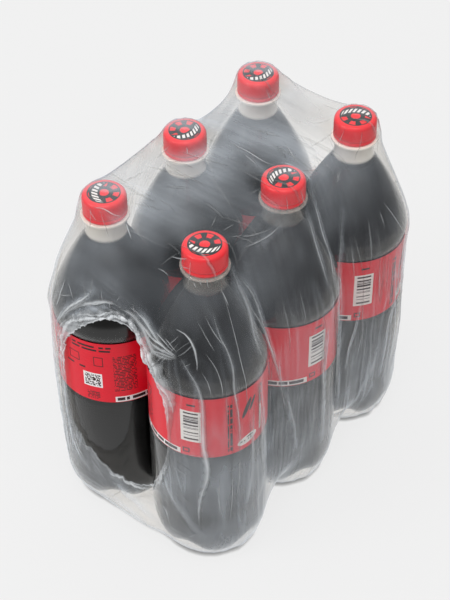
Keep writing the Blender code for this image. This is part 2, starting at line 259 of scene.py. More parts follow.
def turned(line, sides=SIDES):
    """Turns a line of (radius, height) about the upright axis: rings of points."""
    angles = np.arange(sides) * math.tau / sides
    radius, height = line[:, 0][:, None], line[:, 1][:, None]
    return np.stack([radius * np.cos(angles), radius * np.sin(angles), height + 0 * angles], axis=2)


def bottle_outside():
    """Rings of points up the outside of a bottle, from the middle of its underside."""
    foot = smooth_line(FOOT_LINE, 26)
    valley = np.interp(foot[:, 0], VALLEY_RADII, VALLEY_HEIGHTS)
    angles = np.arange(SIDES) * math.tau / SIDES
    valley_share = ((1 + np.cos(FEET * angles)) / 2) ** 2
    base = turned(foot)
    base[:, :, 2] += (valley - foot[:, 1])[:, None] * valley_share
    above = (np.array(PANEL_LINE), smooth_line(SHOULDER_LINE, 34), np.array(NECK_LINE))
    return np.concatenate([base] + [turned(line[1:]) for line in above])


def sunk_in(rings, depth):
    """The same rings moved inwards through the wall by depth."""
    up = np.gradient(rings, axis=0)
    around = np.roll(rings, -1, axis=1) - np.roll(rings, 1, axis=1)
    out = np.cross(around, up)
    size = np.linalg.norm(out, axis=2, keepdims=True)
    out = np.where(size > 1e-12, out / np.maximum(size, 1e-12), (0.0, 0.0, -1.0))
    return rings - out * depth


def skin(rings, closed=False):
    """Points and faces of rings joined in order. A ring of no radius becomes one point."""
    points, rows, faces = [], [], []
    for ring in rings:
        if np.hypot(ring[:, 0], ring[:, 1]).max() < 1e-6:
            rows.append([len(points)] * len(ring))
            points.append(ring[0])
        else:
            rows.append(list(range(len(points), len(points) + len(ring))))
            points.extend(ring)
    pairs = list(zip(rows, rows[1:]))
    if closed:
        pairs.append((rows[-1], rows[0]))
    for low, high in pairs:
        for side in range(len(low)):
            after = (side + 1) % len(low)
            corners = (low[side], low[after], high[after], high[side])
            faces.append(tuple(dict.fromkeys(corners)))
    return points, faces


def make_mesh(name, points, faces, material, sharp=40.0):
    mesh = bpy.data.meshes.new(name)
    mesh.from_pydata([tuple(point) for point in points], [], faces)
    mesh.materials.append(material)
    mesh.shade_smooth()
    mesh.set_sharp_from_angle(angle=math.radians(sharp))
    return mesh


def add_piece(name, mesh, node=None):
    """Puts a mesh in the scene, in place of the CAD node that it shows."""
    piece = bpy.data.objects.new(name, mesh)
    bpy.context.scene.collection.objects.link(piece)
    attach(piece, "root")
    if node:
        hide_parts(node)
    return piece


def bottle_place(number):
    """The middle of a bottle's feet, below the middle of its cap."""
    low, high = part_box(f"cap_{number}")
    return Vector(((low.x + high.x) / 2, (low.y + high.y) / 2, STAND))


PLACES = {number: bottle_place(number) for number in TURNS}


def stand_in_place(kind, number, mesh, turns=TURNS):
    """One of six: a copy of the mesh, turned and moved to its bottle's place."""
    placed = mesh.copy()
    turn = Matrix.Rotation(math.radians(turns[number]), 4, "Z")
    placed.transform(Matrix.Translation(PLACES[number]) @ turn)
    return add_piece(f"{kind}_{number}_round", placed, f"{kind}_{number}")


def keep_numbers(mesh, name, values):
    """Stores one number for each point of the mesh, for its material to read."""
    kept = mesh.attributes.new(name, "FLOAT", "POINT")
    kept.data.foreach_set("value", np.asarray(values, np.float32).ravel())


def kept_numbers(tree, name):
    return add_node(tree, "Attribute", attribute_name=name).outputs["Fac"]


def new_material(name, sockets):
    """A material with its shader's own sockets set, and its nodes and shader."""
    material = bpy.data.materials.new(name)
    material.use_nodes = True
    tree = material.node_tree
    shader = tree.nodes["Principled BSDF"]
    fill_sockets(tree, shader, sockets)
    return material, tree, shader


def noise_on(tree, scale, detail=2.0, places=None):
    """Soft noise in the object's own space, as a number round 0.5."""
    if places is None:
        places = add_node(tree, "TexCoord").outputs["Object"]
    return add_node(tree, "TexNoise", {"Scale": scale, "Detail": detail, "Vector": places}).outputs["Fac"]


def mirror_share(tree):
    """How much of a smooth surface's look is reflection: more at a slant."""
    slant = add_node(tree, "LayerWeight", {"Blend": 0.5}).outputs["Facing"]
    return maths(tree, "POWER", slant, 5.0)


def laid_over(tree, share, under, over):
    """Finishes the material with a share of one shader over the other."""
    mix = add_node(tree, "MixShader", {0: share, 1: under.outputs[0], 2: over.outputs[0]})
    fill_sockets(tree, tree.nodes["Material Output"], {"Surface": mix.outputs[0]})
    return mix


def see_through(tree, tint, cover, shader):
    """Covers clear film or plastic of the tint with a share of the shader."""
    return laid_over(tree, cover, add_node(tree, "BsdfTransparent", {"Color": tint}), shader)


def clear_pet():
    """Clear moulded plastic: glossy, a little scuffed, milky where it is thick, and with painted light in
    the neck, a pale cover for what shows through it.
    """
    looks = {"Base Color": (0.97, 0.95, 0.90, 1.0), "IOR": 1.57, "Metallic": 0.0}
    material, tree, shader = new_material("clear_pet", looks)
    fill_sockets(tree, shader, {"Roughness": spread(tree, noise_on(tree, 60.0, 4.0), 0.05, 0.12)})
    place = add_node(tree, "TexCoord").outputs["Object"]
    height = add_node(tree, "SeparateXYZ", {0: place}).outputs["Z"]
    in_ring = maths(tree, "COMPARE", height, RING_MIDDLE, RING_HALF)
    milk_and_neck_light = maths(tree, "MULTIPLY_ADD", in_ring, RING_MILK, kept_numbers(tree, "painted_neck_light"))
    milky_with_painted_light = see_through(tree, (0.975, 0.978, 0.975, 1.0), milk_and_neck_light, shader)
    mirror = add_node(tree, "BsdfGlossy", {"Color": (0.97, 0.98, 0.99, 1.0), "Roughness": 0.08})
    laid_over(tree, mirror_share(tree), milky_with_painted_light, mirror)
    return material


def bottle_mesh():
    outside = bottle_outside()
    inside = sunk_in(outside, WALL)
    below_neck = inside[:, :, 2].mean(axis=1) < WALL_TURNS_IN
    bore = turned(np.array(BORE_LINE))
    points, faces = skin(np.concatenate([outside, bore, inside[below_neck][::-1]]))
    return make_mesh("bottle_round", points, faces, clear_pet())


bottle = bottle_mesh()
for number in PLACES:
    piece = stand_in_place("bottle", number, bottle)
    heights = np.array([point.co.z - STAND for point in piece.data.vertices])
    # Painted light: above the wall's turn each neck is made paler by its own share.
    painted_neck_light = NECK_PAINTED_LIGHT[number] * np.clip((heights - WALL_TURNS_IN) / NECK_LIGHT_EDGE, 0.0, 1.0)
    keep_numbers(piece.data, "painted_neck_light", painted_neck_light)


# --- Drink -------------------------------------------------------------------------
# Near-black soda, filled to just below the support ring. It reaches a little way into
# the wall, so that it looks wetted to the plastic, and climbs slightly at its edge.

DRINK_DEPTH = 0.0003         # how far inside the bottle's outer skin it ends
DRINK_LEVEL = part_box("drink_1")[1].z - STAND
FILLED_SHORT = {3: 0.0045, 6: 0.0030}      # these two are filled a little less
MENISCUS = 0.0006


def dark_soda():
    looks = {"Roughness": 0.15, "IOR": 1.57}     # the wetted wall's
    material, tree, shader = new_material("dark_soda", looks)
    tint = add_node(tree, "ValToRGB", {"Fac": noise_on(tree, 9.0)})
    ends = tint.color_ramp.elements
    ends[0].color = (0.0016, 0.0014, 0.0015, 1.0)
    ends[1].color = (0.0032, 0.0026, 0.0026, 1.0)
    fill_sockets(tree, shader, {"Base Color": tint.outputs["Color"]})
    return material


def drink_mesh(material, level):
    rings = sunk_in(bottle_outside(), DRINK_DEPTH)
    heights = rings[:, :, 2].mean(axis=1)
    above = int(np.argmax(heights > level))
    share = (level - heights[above - 1]) / (heights[above] - heights[above - 1])
    last = rings[above - 1] + (rings[above] - rings[above - 1]) * share
    rings = np.concatenate([rings[heights < level - MENISCUS], last[None]])
    edge = np.hypot(rings[-1, 0, 0], rings[-1, 0, 1])
    surface = turned(np.array(((edge - 0.0002, level), (edge - 0.0010, level - MENISCUS * 0.6),
                               (edge - 0.0025, level - MENISCUS), (0.0, level - MENISCUS))))
    points, faces = skin(np.concatenate([rings, surface]))
    return make_mesh("drink_round", points, faces, material)


soda = dark_soda()
for number in PLACES:
    drink = drink_mesh(soda, DRINK_LEVEL - FILLED_SHORT.get(number, 0.0))
    stand_in_place("drink", number, drink)


# --- Labels ------------------------------------------------------------------------
# A strip of thin red printed film wound once round the panel, with a glued overlap.
# The print is generic: code bars, a code square, rows of marks, stripes and spots. One narrow upright white
# strip on it is a painted highlight.

LABEL_RADIUS = 0.0412
LABEL_FILM = 0.00010
LABEL_BOTTOM = 0.1178
LABEL_TOP = 0.1752
LABEL_SIDES = 144
LABEL_LAP = 10.0             # degrees of overlap, at the back of the print
LAP_RISE = 0.00018
LABEL_RED = (0.760, 0.006, 0.024, 1.0)
LABEL_WHITE_AND_HIGHLIGHT = (0.86, 0.85, 0.85, 1.0)
LABEL_DARK = (0.030, 0.008, 0.010, 1.0)
MM_PER_DEGREE = LABEL_RADIUS * 1000 * math.tau / 360
WHITE_BOXES_AND_HIGHLIGHT = (              # left and right in degrees, then bottom and top in millimetres
    (0.0, 20.0, 132.5, 162.5), (-93.0, -73.5, 132.0, 145.6), (-62.0, -1.0, 118.2, 123.4),
    # This last box, a narrow upright strip, is no print but a painted highlight.
    (83.4, 86.6, 126.0, 150.0),
)
WHITE_SPOTS = (              # middle, half sizes and tilt
    (67.0, 126.0, 8.6, 3.9, 12.0), (140.0, 150.0, 14.0, 14.0), (-150.0, 139.0, 9.0, 9.0),
    (165.0, 128.0, 5.0, 5.0),
)
DARK_OVALS = ((66.0, 157.0, 2.0, 9.0, -24.0), (73.0, 159.0, 1.5, 6.5, -24.0))
FRAMES = (                   # a box, then how wide its upright and level lines are
    (1.5, 8.5, 121.0, 125.5, 1.3, 1.0), (-81.0, -71.5, 153.0, 162.0, 0.8, 0.7),
    (-108.0, -96.0, 154.0, 162.0, 0.8, 0.7),
)


def label_mesh(material):
    lap = math.radians(LABEL_LAP)
    angles = np.linspace(-math.pi, math.pi + lap, LABEL_SIDES + 5)
    lift = np.interp(angles, (math.pi - lap, math.pi), (0.0, LAP_RISE))
    heights = np.linspace(LABEL_BOTTOM, LABEL_TOP, 9)
    rows = [(height, LABEL_FILM) for height in heights] + [(height, 0.0) for height in heights[::-1]]
    points, places = [], []
    for height, thickness in rows:
        for angle, rise in zip(angles, lift):
            radius = LABEL_RADIUS + rise + thickness
            points.append((radius * math.cos(angle), radius * math.sin(angle), height))
            places.append((angle / math.tau + 0.5, (height - LABEL_BOTTOM) / (LABEL_TOP - LABEL_BOTTOM)))
    wide, tall = len(angles), len(rows)
    index = np.arange(wide * tall).reshape(tall, wide)
    above = np.roll(index, -1, axis=0)
    corners = (index[:, :-1], index[:, 1:], above[:, 1:], above[:, :-1])
    faces = np.stack(corners, axis=-1).reshape(-1, 4).tolist()
    for low in range(len(heights) - 1):
        end = np.array([index[low], index[low + 1], index[tall - 2 - low], index[tall - 1 - low]])
        faces += [end[:, 0].tolist(), end[::-1, -1].tolist()]
    mesh = make_mesh("label_round", points, faces, material)
    wrap = mesh.uv_layers.new(name="wrap")
    for loop in mesh.loops:
        wrap.data[loop.index].uv = places[loop.vertex_index]
    return mesh


class Print:
    """Draws shapes on a surface from two numbers that its mesh keeps: across, and up."""

    def __init__(self, tree, kept, across_ends, up_ends):
        self.tree = tree
        split = add_node(tree, "SeparateXYZ", {0: add_node(tree, "UVMap", uv_map=kept).outputs[0]})
        self.across, self.up = (self.maths("MULTIPLY_ADD", value, high - low, low)
                                for value, (low, high) in zip(split.outputs, (across_ends, up_ends)))

    def maths(self, operation, *values):
        return maths(self.tree, operation, *values)

    def both(self, first, second):
        return self.maths("MULTIPLY", first, second)

    def below(self, value, limit):
        return self.maths("LESS_THAN", value, limit)

    def any_of(self, masks):
        result = masks[0]
        for mask in masks[1:]:
            result = self.maths("MAXIMUM", result, mask)
        return result

    def box(self, left, right, low, high):
        wide = self.maths("COMPARE", self.across, (left + right) / 2, (right - left) / 2)
        tall = self.maths("COMPARE", self.up, (low + high) / 2, (high - low) / 2)
        return self.both(wide, tall)

    def frame(self, left, right, low, high, side, edge):
        middle = self.box(left + side, right - side, low + edge, high - edge)
        return self.both(self.box(left, right, low, high), self.maths("SUBTRACT", 1.0, middle))

    def steps(self, value, size):
        return self.maths("FLOOR", self.maths("DIVIDE", value, size))

    def scatter(self, across_steps, up_steps, share):
        """Cells that are filled at random, share of them."""
        cell = add_node(self.tree, "CombineXYZ", {0: across_steps, 1: up_steps}).outputs[0]
        random = add_node(self.tree, "TexWhiteNoise", {"Vector": cell}, noise_dimensions="2D")
        return self.below(random.outputs["Value"], share)

    def rows_of_marks(self, row, mark, across, up, share=0.7, fill=0.55):
        """Rows of small marks with gaps, as tall as fill of a row."""
        in_row = self.below(self.maths("FRACT", self.maths("DIVIDE", up, row)), fill)
        return self.both(in_row, self.scatter(self.steps(across, mark), self.steps(up, row), share))

    def ellipse(self, across, up, half_across, half_up, tilt=0.0):
        away = self.both(self.maths("SUBTRACT", self.across, across), MM_PER_DEGREE)
        rise = self.maths("SUBTRACT", self.up, up)
        cosine, sine = math.cos(math.radians(tilt)), math.sin(math.radians(tilt))
        first = self.maths("ADD", self.both(away, cosine), self.both(rise, sine))
        second = self.maths("SUBTRACT", self.both(rise, cosine), self.both(away, sine))
        squares = [self.maths("POWER", self.maths("DIVIDE", length, half), 2.0)
                   for length, half in ((first, half_across), (second, half_up))]
        return self.below(self.maths("ADD", *squares), 1.0)

    def paint(self, colour, *coats):
        """Lays each coat's colour where its mask is, over the ground colour."""
        for coat, mask in coats:
            mix = add_node(self.tree, "Mix", {"Factor": mask, 6: colour, 7: coat}, data_type="RGBA")
            colour = mix.outputs[2]
        return colour


def finish_print(tree, shader, colour, grain, roughness, strength, depth):
    """A printed surface, with an uneven gloss and a fine grain."""
    bump = add_node(tree, "Bump", {"Strength": strength, "Distance": depth, "Height": grain})
    uneven = spread(tree, grain, *roughness, 0.0, 1.0)
    fill_sockets(tree, shader, {"Base Color": colour, "Roughness": uneven, "Normal": bump.outputs["Normal"]})


def printed_label():
    material, tree, shader = new_material("printed_label", {"Specular IOR Level": 0.28})
    label = Print(tree, "wrap", (-180.0, 180.0), (LABEL_BOTTOM * 1000, LABEL_TOP * 1000))
    across, up = label.across, label.up
    fine_rows = label.rows_of_marks(1.5, 1.1, across, up)
    tall_rows = label.rows_of_marks(3.1, 2.2, across, up, share=0.8)
    column_rows = label.rows_of_marks(3.4, 1.3, up, across, share=0.8, fill=0.75)
    from_line = label.maths("SUBTRACT", up, 119.4)
    line_rows = label.rows_of_marks(5.2, 1.5, across, from_line, share=0.78, fill=0.56)
    badge_rows = label.rows_of_marks(2.6, 1.6, across, up, share=0.75, fill=0.5)
    bars = label.scatter(0.0, label.steps(up, 0.50), 0.50)
    cells = label.scatter(label.steps(across, 0.94), label.steps(up, 0.68), 0.52)
    dark_areas = [label.both(marks, label.box(*sides)) for marks, sides in (
        (fine_rows, (-62.0, -39.0, 129.0, 163.0)),
        (tall_rows, (-104.0, -63.0, 167.2, 173.0)),
        (tall_rows, (-112.0, -88.0, 148.4, 151.6)),
        (fine_rows, (-90.0, -77.0, 120.0, 127.6)),
        (column_rows, (45.2, 50.8, 121.0, 167.0)),
        (column_rows, (82.8, 87.2, 152.0, 170.0)),
        (tall_rows, (5.0, 15.0, 167.2, 169.4)),
    )]
    dark_areas += [label.frame(*frame) for frame in FRAMES] + [label.ellipse(*oval) for oval in DARK_OVALS]
    # White print, and the painted highlight strip.
    white_print_and_highlight = [label.box(*sides) for sides in WHITE_BOXES_AND_HIGHLIGHT]
    white_print_and_highlight += [label.ellipse(*spot) for spot in WHITE_SPOTS]
    black_areas = [
        label.both(bars, label.box(3.0, 17.4, 134.0, 161.0)),
        label.both(cells, label.box(-91.4, -75.1, 133.2, 144.4)),
        label.both(line_rows, label.box(-60.0, -3.0, 118.9, 122.6)),
        label.both(badge_rows, label.ellipse(67.0, 126.0, 6.4, 2.4, 12.0)),
    ]
    dark, white, black = map(label.any_of, (dark_areas, white_print_and_highlight, black_areas))
    colour = label.paint(LABEL_RED, (LABEL_DARK, dark), (LABEL_WHITE_AND_HIGHLIGHT, white), (LABEL_DARK, black))
    ink = add_node(tree, "TexNoise", {"Scale": 40.0, "Detail": 3.0}).outputs["Fac"]
    shade = spread(tree, ink, 0.92, 1.06, 0.0, 1.0)
    parts = {"Factor": 1.0, 6: colour, 7: shade}
    uneven = add_node(tree, "Mix", parts, data_type="RGBA", blend_type="MULTIPLY")
    finish_print(tree, shader, uneven.outputs[2], ink, (0.28, 0.42), 0.15, 0.001)
    return material


label_sleeve = label_mesh(printed_label())
for number in PLACES:
    stand_in_place("label", number, label_sleeve)


# --- Caps --------------------------------------------------------------------------
# Moulded red screw caps: a ribbed skirt with a rounded shoulder, a thin break line over
# the tamper band, and a print on top that is a plain pattern of bars and wedges.

CAP_LINE = ((0.0128, 0.2592), (0.0147, 0.2592), (0.0150, 0.2596), (0.0150, 0.2616), (0.0147, 0.2619),
            (0.0147, 0.2622), (0.0150, 0.2625), (0.0150, 0.2640))
CAP_SHOULDER = ((0.0150, 0.2640), (0.0150, 0.2700), (0.0149, 0.2722), (0.0144, 0.2738), (0.0134, 0.2747),
                (0.0118, 0.2750), (0.0060, 0.27505), (0.0, 0.27505))
CAP_INSIDE = ((0.0, 0.2735), (0.0126, 0.2735), (0.0128, 0.2728))
CAP_RIBS = 96
CAP_SIDES = CAP_RIBS * 3
RIB_DEPTH = 0.00013
RIB_ENDS = (0.2625, 0.2722)  # heights, with the length that each end fades over below
RIB_FADES = (0.0006, 0.0012)
PRINT_HALF = 20.0            # millimetres, as the print's other numbers
PRINT_RADIUS = 11.2
HUB_RADIUS = 3.4
WEDGES = 7
WEDGE_SHARE = 0.52
WEDGE_ENDS = (6.4, 10.3)     # from the middle
BAND_BEND = 0.045
BAND = (6.2, 3.6, 10.6)      # middle, half width, and how far from the cap's middle it ends
BARS = (6.2, 2.0, 10.0)      # the same for the bars on the band
BAR_SLANT = 0.5
BAR_SPACING = 3.0
BAR_SHARE = 0.6
CAP_RED = (0.87, 0.009, 0.020, 1.0)
CAP_BLACK = (0.012, 0.011, 0.013, 1.0)
CAP_WHITE = (0.84, 0.82, 0.83, 1.0)
CAP_TURNS = {1: 218.0, 2: -10.0, 3: -16.0, 4: -62.0, 5: 168.0, 6: 122.0}  # where the band faces


def printed_cap():
    material, tree, shader = new_material("printed_cap", {"Specular IOR Level": 0.35})
    cap = Print(tree, "top", (-PRINT_HALF, PRINT_HALF), (-PRINT_HALF, PRINT_HALF))
    across, up = cap.across, cap.up
    up_squared = cap.maths("POWER", up, 2.0)
    radius = cap.maths("SQRT", cap.maths("ADD", cap.maths("POWER", across, 2.0), up_squared))
    turn = cap.maths("MULTIPLY", cap.maths("ARCTAN2", up, across), WEDGES / math.tau)
    spokes = cap.both(cap.below(cap.maths("FRACT", turn), WEDGE_SHARE),
                      cap.maths("GREATER_THAN", radius, WEDGE_ENDS[0]))
    red_wedges = cap.both(cap.below(radius, WEDGE_ENDS[1]),
                          cap.maths("MAXIMUM", spokes, cap.below(radius, HUB_RADIUS)))
    bent = cap.maths("ADD", across, cap.maths("MULTIPLY", up_squared, BAND_BEND))
    band = cap.both(cap.maths("COMPARE", bent, *BAND[:2]), cap.below(radius, BAND[2]))
    slanted = cap.maths("DIVIDE", cap.maths("MULTIPLY_ADD", bent, BAR_SLANT, up), BAR_SPACING)
    bars = cap.both(cap.below(cap.maths("FRACT", slanted), BAR_SHARE),
                    cap.maths("COMPARE", bent, *BARS[:2]))
    white_bars = cap.both(bars, cap.below(radius, BARS[2]))
    colour = cap.paint(CAP_RED, (CAP_BLACK, cap.below(radius, PRINT_RADIUS)), (CAP_RED, red_wedges),
                       (CAP_BLACK, band), (CAP_WHITE, white_bars))
    grain = add_node(tree, "TexNoise", {"Scale": 180.0}).outputs["Fac"]
    finish_print(tree, shader, colour, grain, (0.22, 0.38), 0.08, 0.0004)
    return material


def cap_mesh():
    lines = (np.array(CAP_LINE), smooth_line(CAP_SHOULDER, 26)[1:], np.array(CAP_INSIDE))
    skirt, shoulder, inside = (turned(line, CAP_SIDES) for line in lines)
    rings = np.concatenate([skirt, shoulder])
    height = rings[:, :1, 2]
    ribbed = (np.clip((height - RIB_ENDS[0]) / RIB_FADES[0], 0, 1)
              * np.clip((RIB_ENDS[1] - height) / RIB_FADES[1], 0, 1))
    wave = (np.arange(CAP_SIDES) % 3 == 0) * 1.0
    shrink = 1.0 - ribbed * wave * RIB_DEPTH / rings[2, 0, 0]
    rings[:, :, :2] *= shrink[:, :, None]
    points, faces = skin(np.concatenate([rings, inside]), closed=True)
    mesh = make_mesh("cap_round", points, faces, printed_cap(), sharp=60.0)
    top = mesh.uv_layers.new(name="top")
    across = 2 * PRINT_HALF / 1000
    for loop in mesh.loops:
        spot = mesh.vertices[loop.vertex_index].co
        top.data[loop.index].uv = (spot.x / across + 0.5, spot.y / across + 0.5)
    return mesh


cap = cap_mesh()
for number in PLACES:
    stand_in_place("cap", number, cap, CAP_TURNS)


# --- Shrink film -------------------------------------------------------------------
# One loop of thin clear polyethylene, shrunk tight. It lies where its own tension
# draws it over the caps, shoulders and feet, and gathers at each end round a hole.

CORE_HALF = 0.062            # the rays that carry the film leave a rounded core this wide
CORE_LOW = 0.030
CORE_HIGH = 0.225
CORE_ROUND = 0.020
END_START = 0.101            # the sleeve turns towards its end from here
TOP_STEPS = 32
HIGH_CORNER_STEPS = 26
SIDE_STEPS = 56
LOW_CORNER_STEPS = 14
UNDER_STEPS = 24
STRAIGHT_ROWS = 89
TURN_ROWS = 14
FACE_ROWS = 24
REACH = 0.150
LEAST_REACH = 0.002
PACK_MIDDLE = (0.0, 0.0, 0.13)
TAUT_PLACES = (-0.020, 0.030, 0.070, 0.100)  # y, front to back
TAUT_TOP = (0.88, 0.42, 0.42, 0.75)      # how far the top is from a soap film, towards a flat wrap
HUG_FEET = 0.35              # how far the low film is drawn in between the feet on the right
TAUT_END = 0.95              # the same for the low part of each end
SLACK = (                    # where the film stands off: middle, reach and height
    ((-0.088, -0.095, 0.120), 0.080, 0.0035), ((-0.070, -0.100, 0.215), 0.045, 0.0030),
    ((0.088, 0.090, 0.200), 0.050, 0.0030), ((0.088, 0.090, 0.090), 0.050, 0.0020),
    ((0.000, -0.125, 0.020), 0.050, 0.0028), ((-0.088, 0.060, 0.120), 0.070, 0.0025),
)
FOLD_SPACING = 0.0105        # between the long folds
FOLD_HEIGHT = 0.0008
OVER_SHOULDERS = (0.195, 0.235)   # heights over which the folds die down
OVER_CAPS = (0.262, 0.272)
OVER_LABELS = (0.05, 0.13)   # and over which they grow to full
OVER_FEET = (0.015, 0.045)
CALMED = 0.85
PLEAT_SPACING = 0.0070       # between the pleats that run out from each hole
PLEAT_HEIGHT = 0.0013
PLEAT_REACH = 0.022
GATHER_SPACING = 0.0042      # between the small gathers at the feet
GATHER_HEIGHT = 0.0005
CRUMPLE_HEIGHT = 0.0007      # close to the torn edge
CRUMPLE_REACH = 0.010
RAGGED = 0.0024              # how far the torn edge wanders
BACK_HOLE = 0.50             # the far hole is this much lower
FILM_GAP = 0.0002
TABLE_GAP = 0.0001
RELAXING = ((4, 500), (2, 200), (1, 120))   # one ray in how many settles, and in how many passes
EASE = 0.8                   # share of its way to rest that a point goes in one pass
NEARING_STEPS = 70
MOST_PUSH = 0.004            # a deeper cut is a fault of the measure, so it is left alone
HOLE_MIDDLE = np.array((-0.004, 0.132))
HOLE_OUTLINE = (             # x and z of the torn edge, clockwise from its left side
    (-0.0500, 0.1270), (-0.0500, 0.1490), (-0.0465, 0.1710), (-0.0345, 0.1885), (-0.0215, 0.1995),
    (-0.0060, 0.2070), (0.0085, 0.2055), (0.0190, 0.1930), (0.0320, 0.1805), (0.0385, 0.1670),
    (0.0405, 0.1480), (0.0407, 0.1230), (0.0370, 0.1020), (0.0295, 0.0800), (0.0225, 0.0665),
    (0.0090, 0.0580), (-0.0070, 0.0565), (-0.0220, 0.0600), (-0.0365, 0.0700), (-0.0460, 0.0860),
    (-0.0495, 0.1070),
)


def wrapped_outline():
    foot = smooth_line(FOOT_LINE, 26)
    line = [(0.0, 0.0)] + foot[foot[:, 0] > FOOT_LINE[5][0]].tolist()
    line += [(BODY_RADIUS, LABEL_BOTTOM), (BODY_RADIUS, LABEL_TOP)]
    line += smooth_line(SHOULDER_LINE, 18).tolist() + list(NECK_LINE[1:7])
    line += [(0.0150, 0.2592)] + list(CAP_SHOULDER[1:6]) + [(0.0, CAP_SHOULDER[-1][1])]
    return np.array(line)


def gap_to_bottles(grid):
    """Distance from each point to the nearest bottle's outside, negative inside one."""
    points = grid.reshape(-1, 3)
    outline = wrapped_outline() + (0.0, STAND)
    x, y, z = points.T
    radius = np.min([np.hypot(x - place.x, y - place.y) for place in PLACES.values()], axis=0)
    here = np.stack([radius, z], axis=1)
    nearest = np.full(len(points), 1.0)
    for start, run in zip(outline, np.diff(outline, axis=0)):
        away = here - start
        along = np.clip((away @ run) / (run ** 2).sum(), 0.0, 1.0)
        nearest = np.minimum(nearest, np.linalg.norm(away - along[:, None] * run, axis=1))
    limit = np.interp(z, outline[1:-1, 1], outline[1:-1, 0])
    inside = (radius < limit) & (z > outline[0, 1]) & (z < outline[-1, 1])
    return np.where(inside, -nearest, nearest).reshape(grid.shape[:-1])


def core_loop():
    """Places and outward directions round the core, in x and z, as seen from the front."""
    flat = CORE_HALF - CORE_ROUND
    low, high = CORE_LOW + CORE_ROUND, CORE_HIGH - CORE_ROUND
    places, directions = [], []

    def straight(start, stop, direction, steps):
        for step in range(steps):
            share = step / steps
            places.append([a + (b - a) * share for a, b in zip(start, stop)])
            directions.append(direction)

    def corner(centre, first, steps):
        for step in range(steps):
            turn = math.radians(first - 90.0 * step / steps)
            direction = (math.cos(turn), math.sin(turn))
            places.append([c + CORE_ROUND * d for c, d in zip(centre, direction)])
            directions.append(direction)

    straight((flat, CORE_LOW), (-flat, CORE_LOW), (0.0, -1.0), UNDER_STEPS)
    corner((-flat, low), 270.0, LOW_CORNER_STEPS)
    straight((-CORE_HALF, low), (-CORE_HALF, high), (-1.0, 0.0), SIDE_STEPS)
    corner((-flat, high), 180.0, HIGH_CORNER_STEPS)
    straight((-flat, CORE_HIGH), (flat, CORE_HIGH), (0.0, 1.0), TOP_STEPS)
    corner((flat, high), 90.0, HIGH_CORNER_STEPS)
    straight((CORE_HALF, high), (CORE_HALF, low), (1.0, 0.0), SIDE_STEPS)
    corner((flat, low), 0.0, LOW_CORNER_STEPS)
    return np.array(places), np.array(directions)


def noise_in(places):
    """Smooth noise between about -1 and 1 at each place."""
    values = [noise.noise(place) for place in places.reshape(-1, 3).tolist()]
    return np.array(values).reshape(places.shape[:-1])


def noise_at(places, scale, seed=0.0):
    return noise_in(places * scale + (seed, -seed, 0.5 * seed))


def hole_rim(places, end):
    """The points of the hole's rim that lie in the directions of the places."""
    outline = smooth_line(HOLE_OUTLINE + HOLE_OUTLINE[:1], 400)[:-1] - HOLE_MIDDLE
    outline[:, 0] *= -end
    if end > 0:
        outline[:, 1] = np.where(outline[:, 1] > 0, outline[:, 1] * BACK_HOLE, outline[:, 1])
    away = places - HOLE_MIDDLE
    around = np.arctan2(outline[:, 1], outline[:, 0])
    reach = np.interp(np.arctan2(away[:, 1], away[:, 0]), np.sort(around),
                      np.linalg.norm(outline, axis=1)[np.argsort(around)], period=math.tau)
    torn = sum(share * noise_in(np.insert(scale * places, 2, layer + end, axis=1))
               for share, scale, layer in ((1.0, 150.0, 5.0), (0.6, 420.0, 9.0)))
    reach = reach + torn * RAGGED * np.clip((0.085 - places[:, 1]) / 0.03, 0.04, 1.0)
    return HOLE_MIDDLE + away / np.linalg.norm(away, axis=1)[:, None] * reach[:, None]


def film_rays():
    """Starts and directions of the film's rays, in rows from the front hole to the back one."""
    places, directions = core_loop()

    def end_rows(end):
        rim = hole_rim(places, end)
        for step in range(FACE_ROWS):
            yield rim + (places - rim) * step / FACE_ROWS, end * END_START, 0.0, end
        for step in range(TURN_ROWS):
            turn = math.radians(90.0 * (1 - step / TURN_ROWS))
            yield places, end * END_START, math.cos(turn), end * math.sin(turn)

    rows = list(end_rows(-1.0))
    rows += [(places, y, 1.0, 0.0) for y in np.linspace(-END_START, END_START, STRAIGHT_ROWS)]
    rows += reversed(list(end_rows(1.0)))
    starts = [np.insert(row, 1, y, axis=1) for row, y, _, _ in rows]
    turned_out = [np.insert(radial * directions, 1, to_end, axis=1) for _, _, radial, to_end in rows]
    return np.array(starts), np.array(turned_out)


def least_and_most(starts, directions):
    """How near the bottles and how near the table let the film lie on each ray."""
    z = directions[..., 2]
    most = np.where(z < -0.01, (TABLE_GAP - starts[..., 2]) / np.minimum(z, -0.01), REACH)
    reach = most.copy()
    for _ in range(NEARING_STEPS):
        gap = gap_to_bottles(starts + reach[..., None] * directions) - FILM_GAP
        reach = np.maximum(reach - np.maximum(gap, 0.0), 0.0)
    return np.minimum(np.maximum(reach, LEAST_REACH), most), most


def pulled(points):
    """Where the film next to each point would draw it."""
    left, right = np.roll(points, 1, axis=1), np.roll(points, -1, axis=1)
    before = np.concatenate([points[:1], points[:-1]])
    after = np.concatenate([points[1:], points[-1:]])
    sides = (left, right, before, after)
    gaps = [np.linalg.norm(side - points, axis=2) for side in sides]
    width, length = (gaps[0] + gaps[1]) / 2, (gaps[2] + gaps[3]) / 2
    strips = (length, length, width, width)
    pulls = [strip / np.maximum(gap, 0.0002) * (gap > 0.0) for gap, strip in zip(gaps, strips)]
    return sum(side * pull[..., None] for side, pull in zip(sides, pulls)) / sum(pulls)[..., None]


def settled(starts, directions, least, most, distance, passes):
    for _ in range(passes):
        points = starts + distance[..., None] * directions
        drawn = ((pulled(points) - starts) * directions).sum(axis=2)
        distance = np.clip(distance + EASE * (drawn - distance), least, most)
    return distance


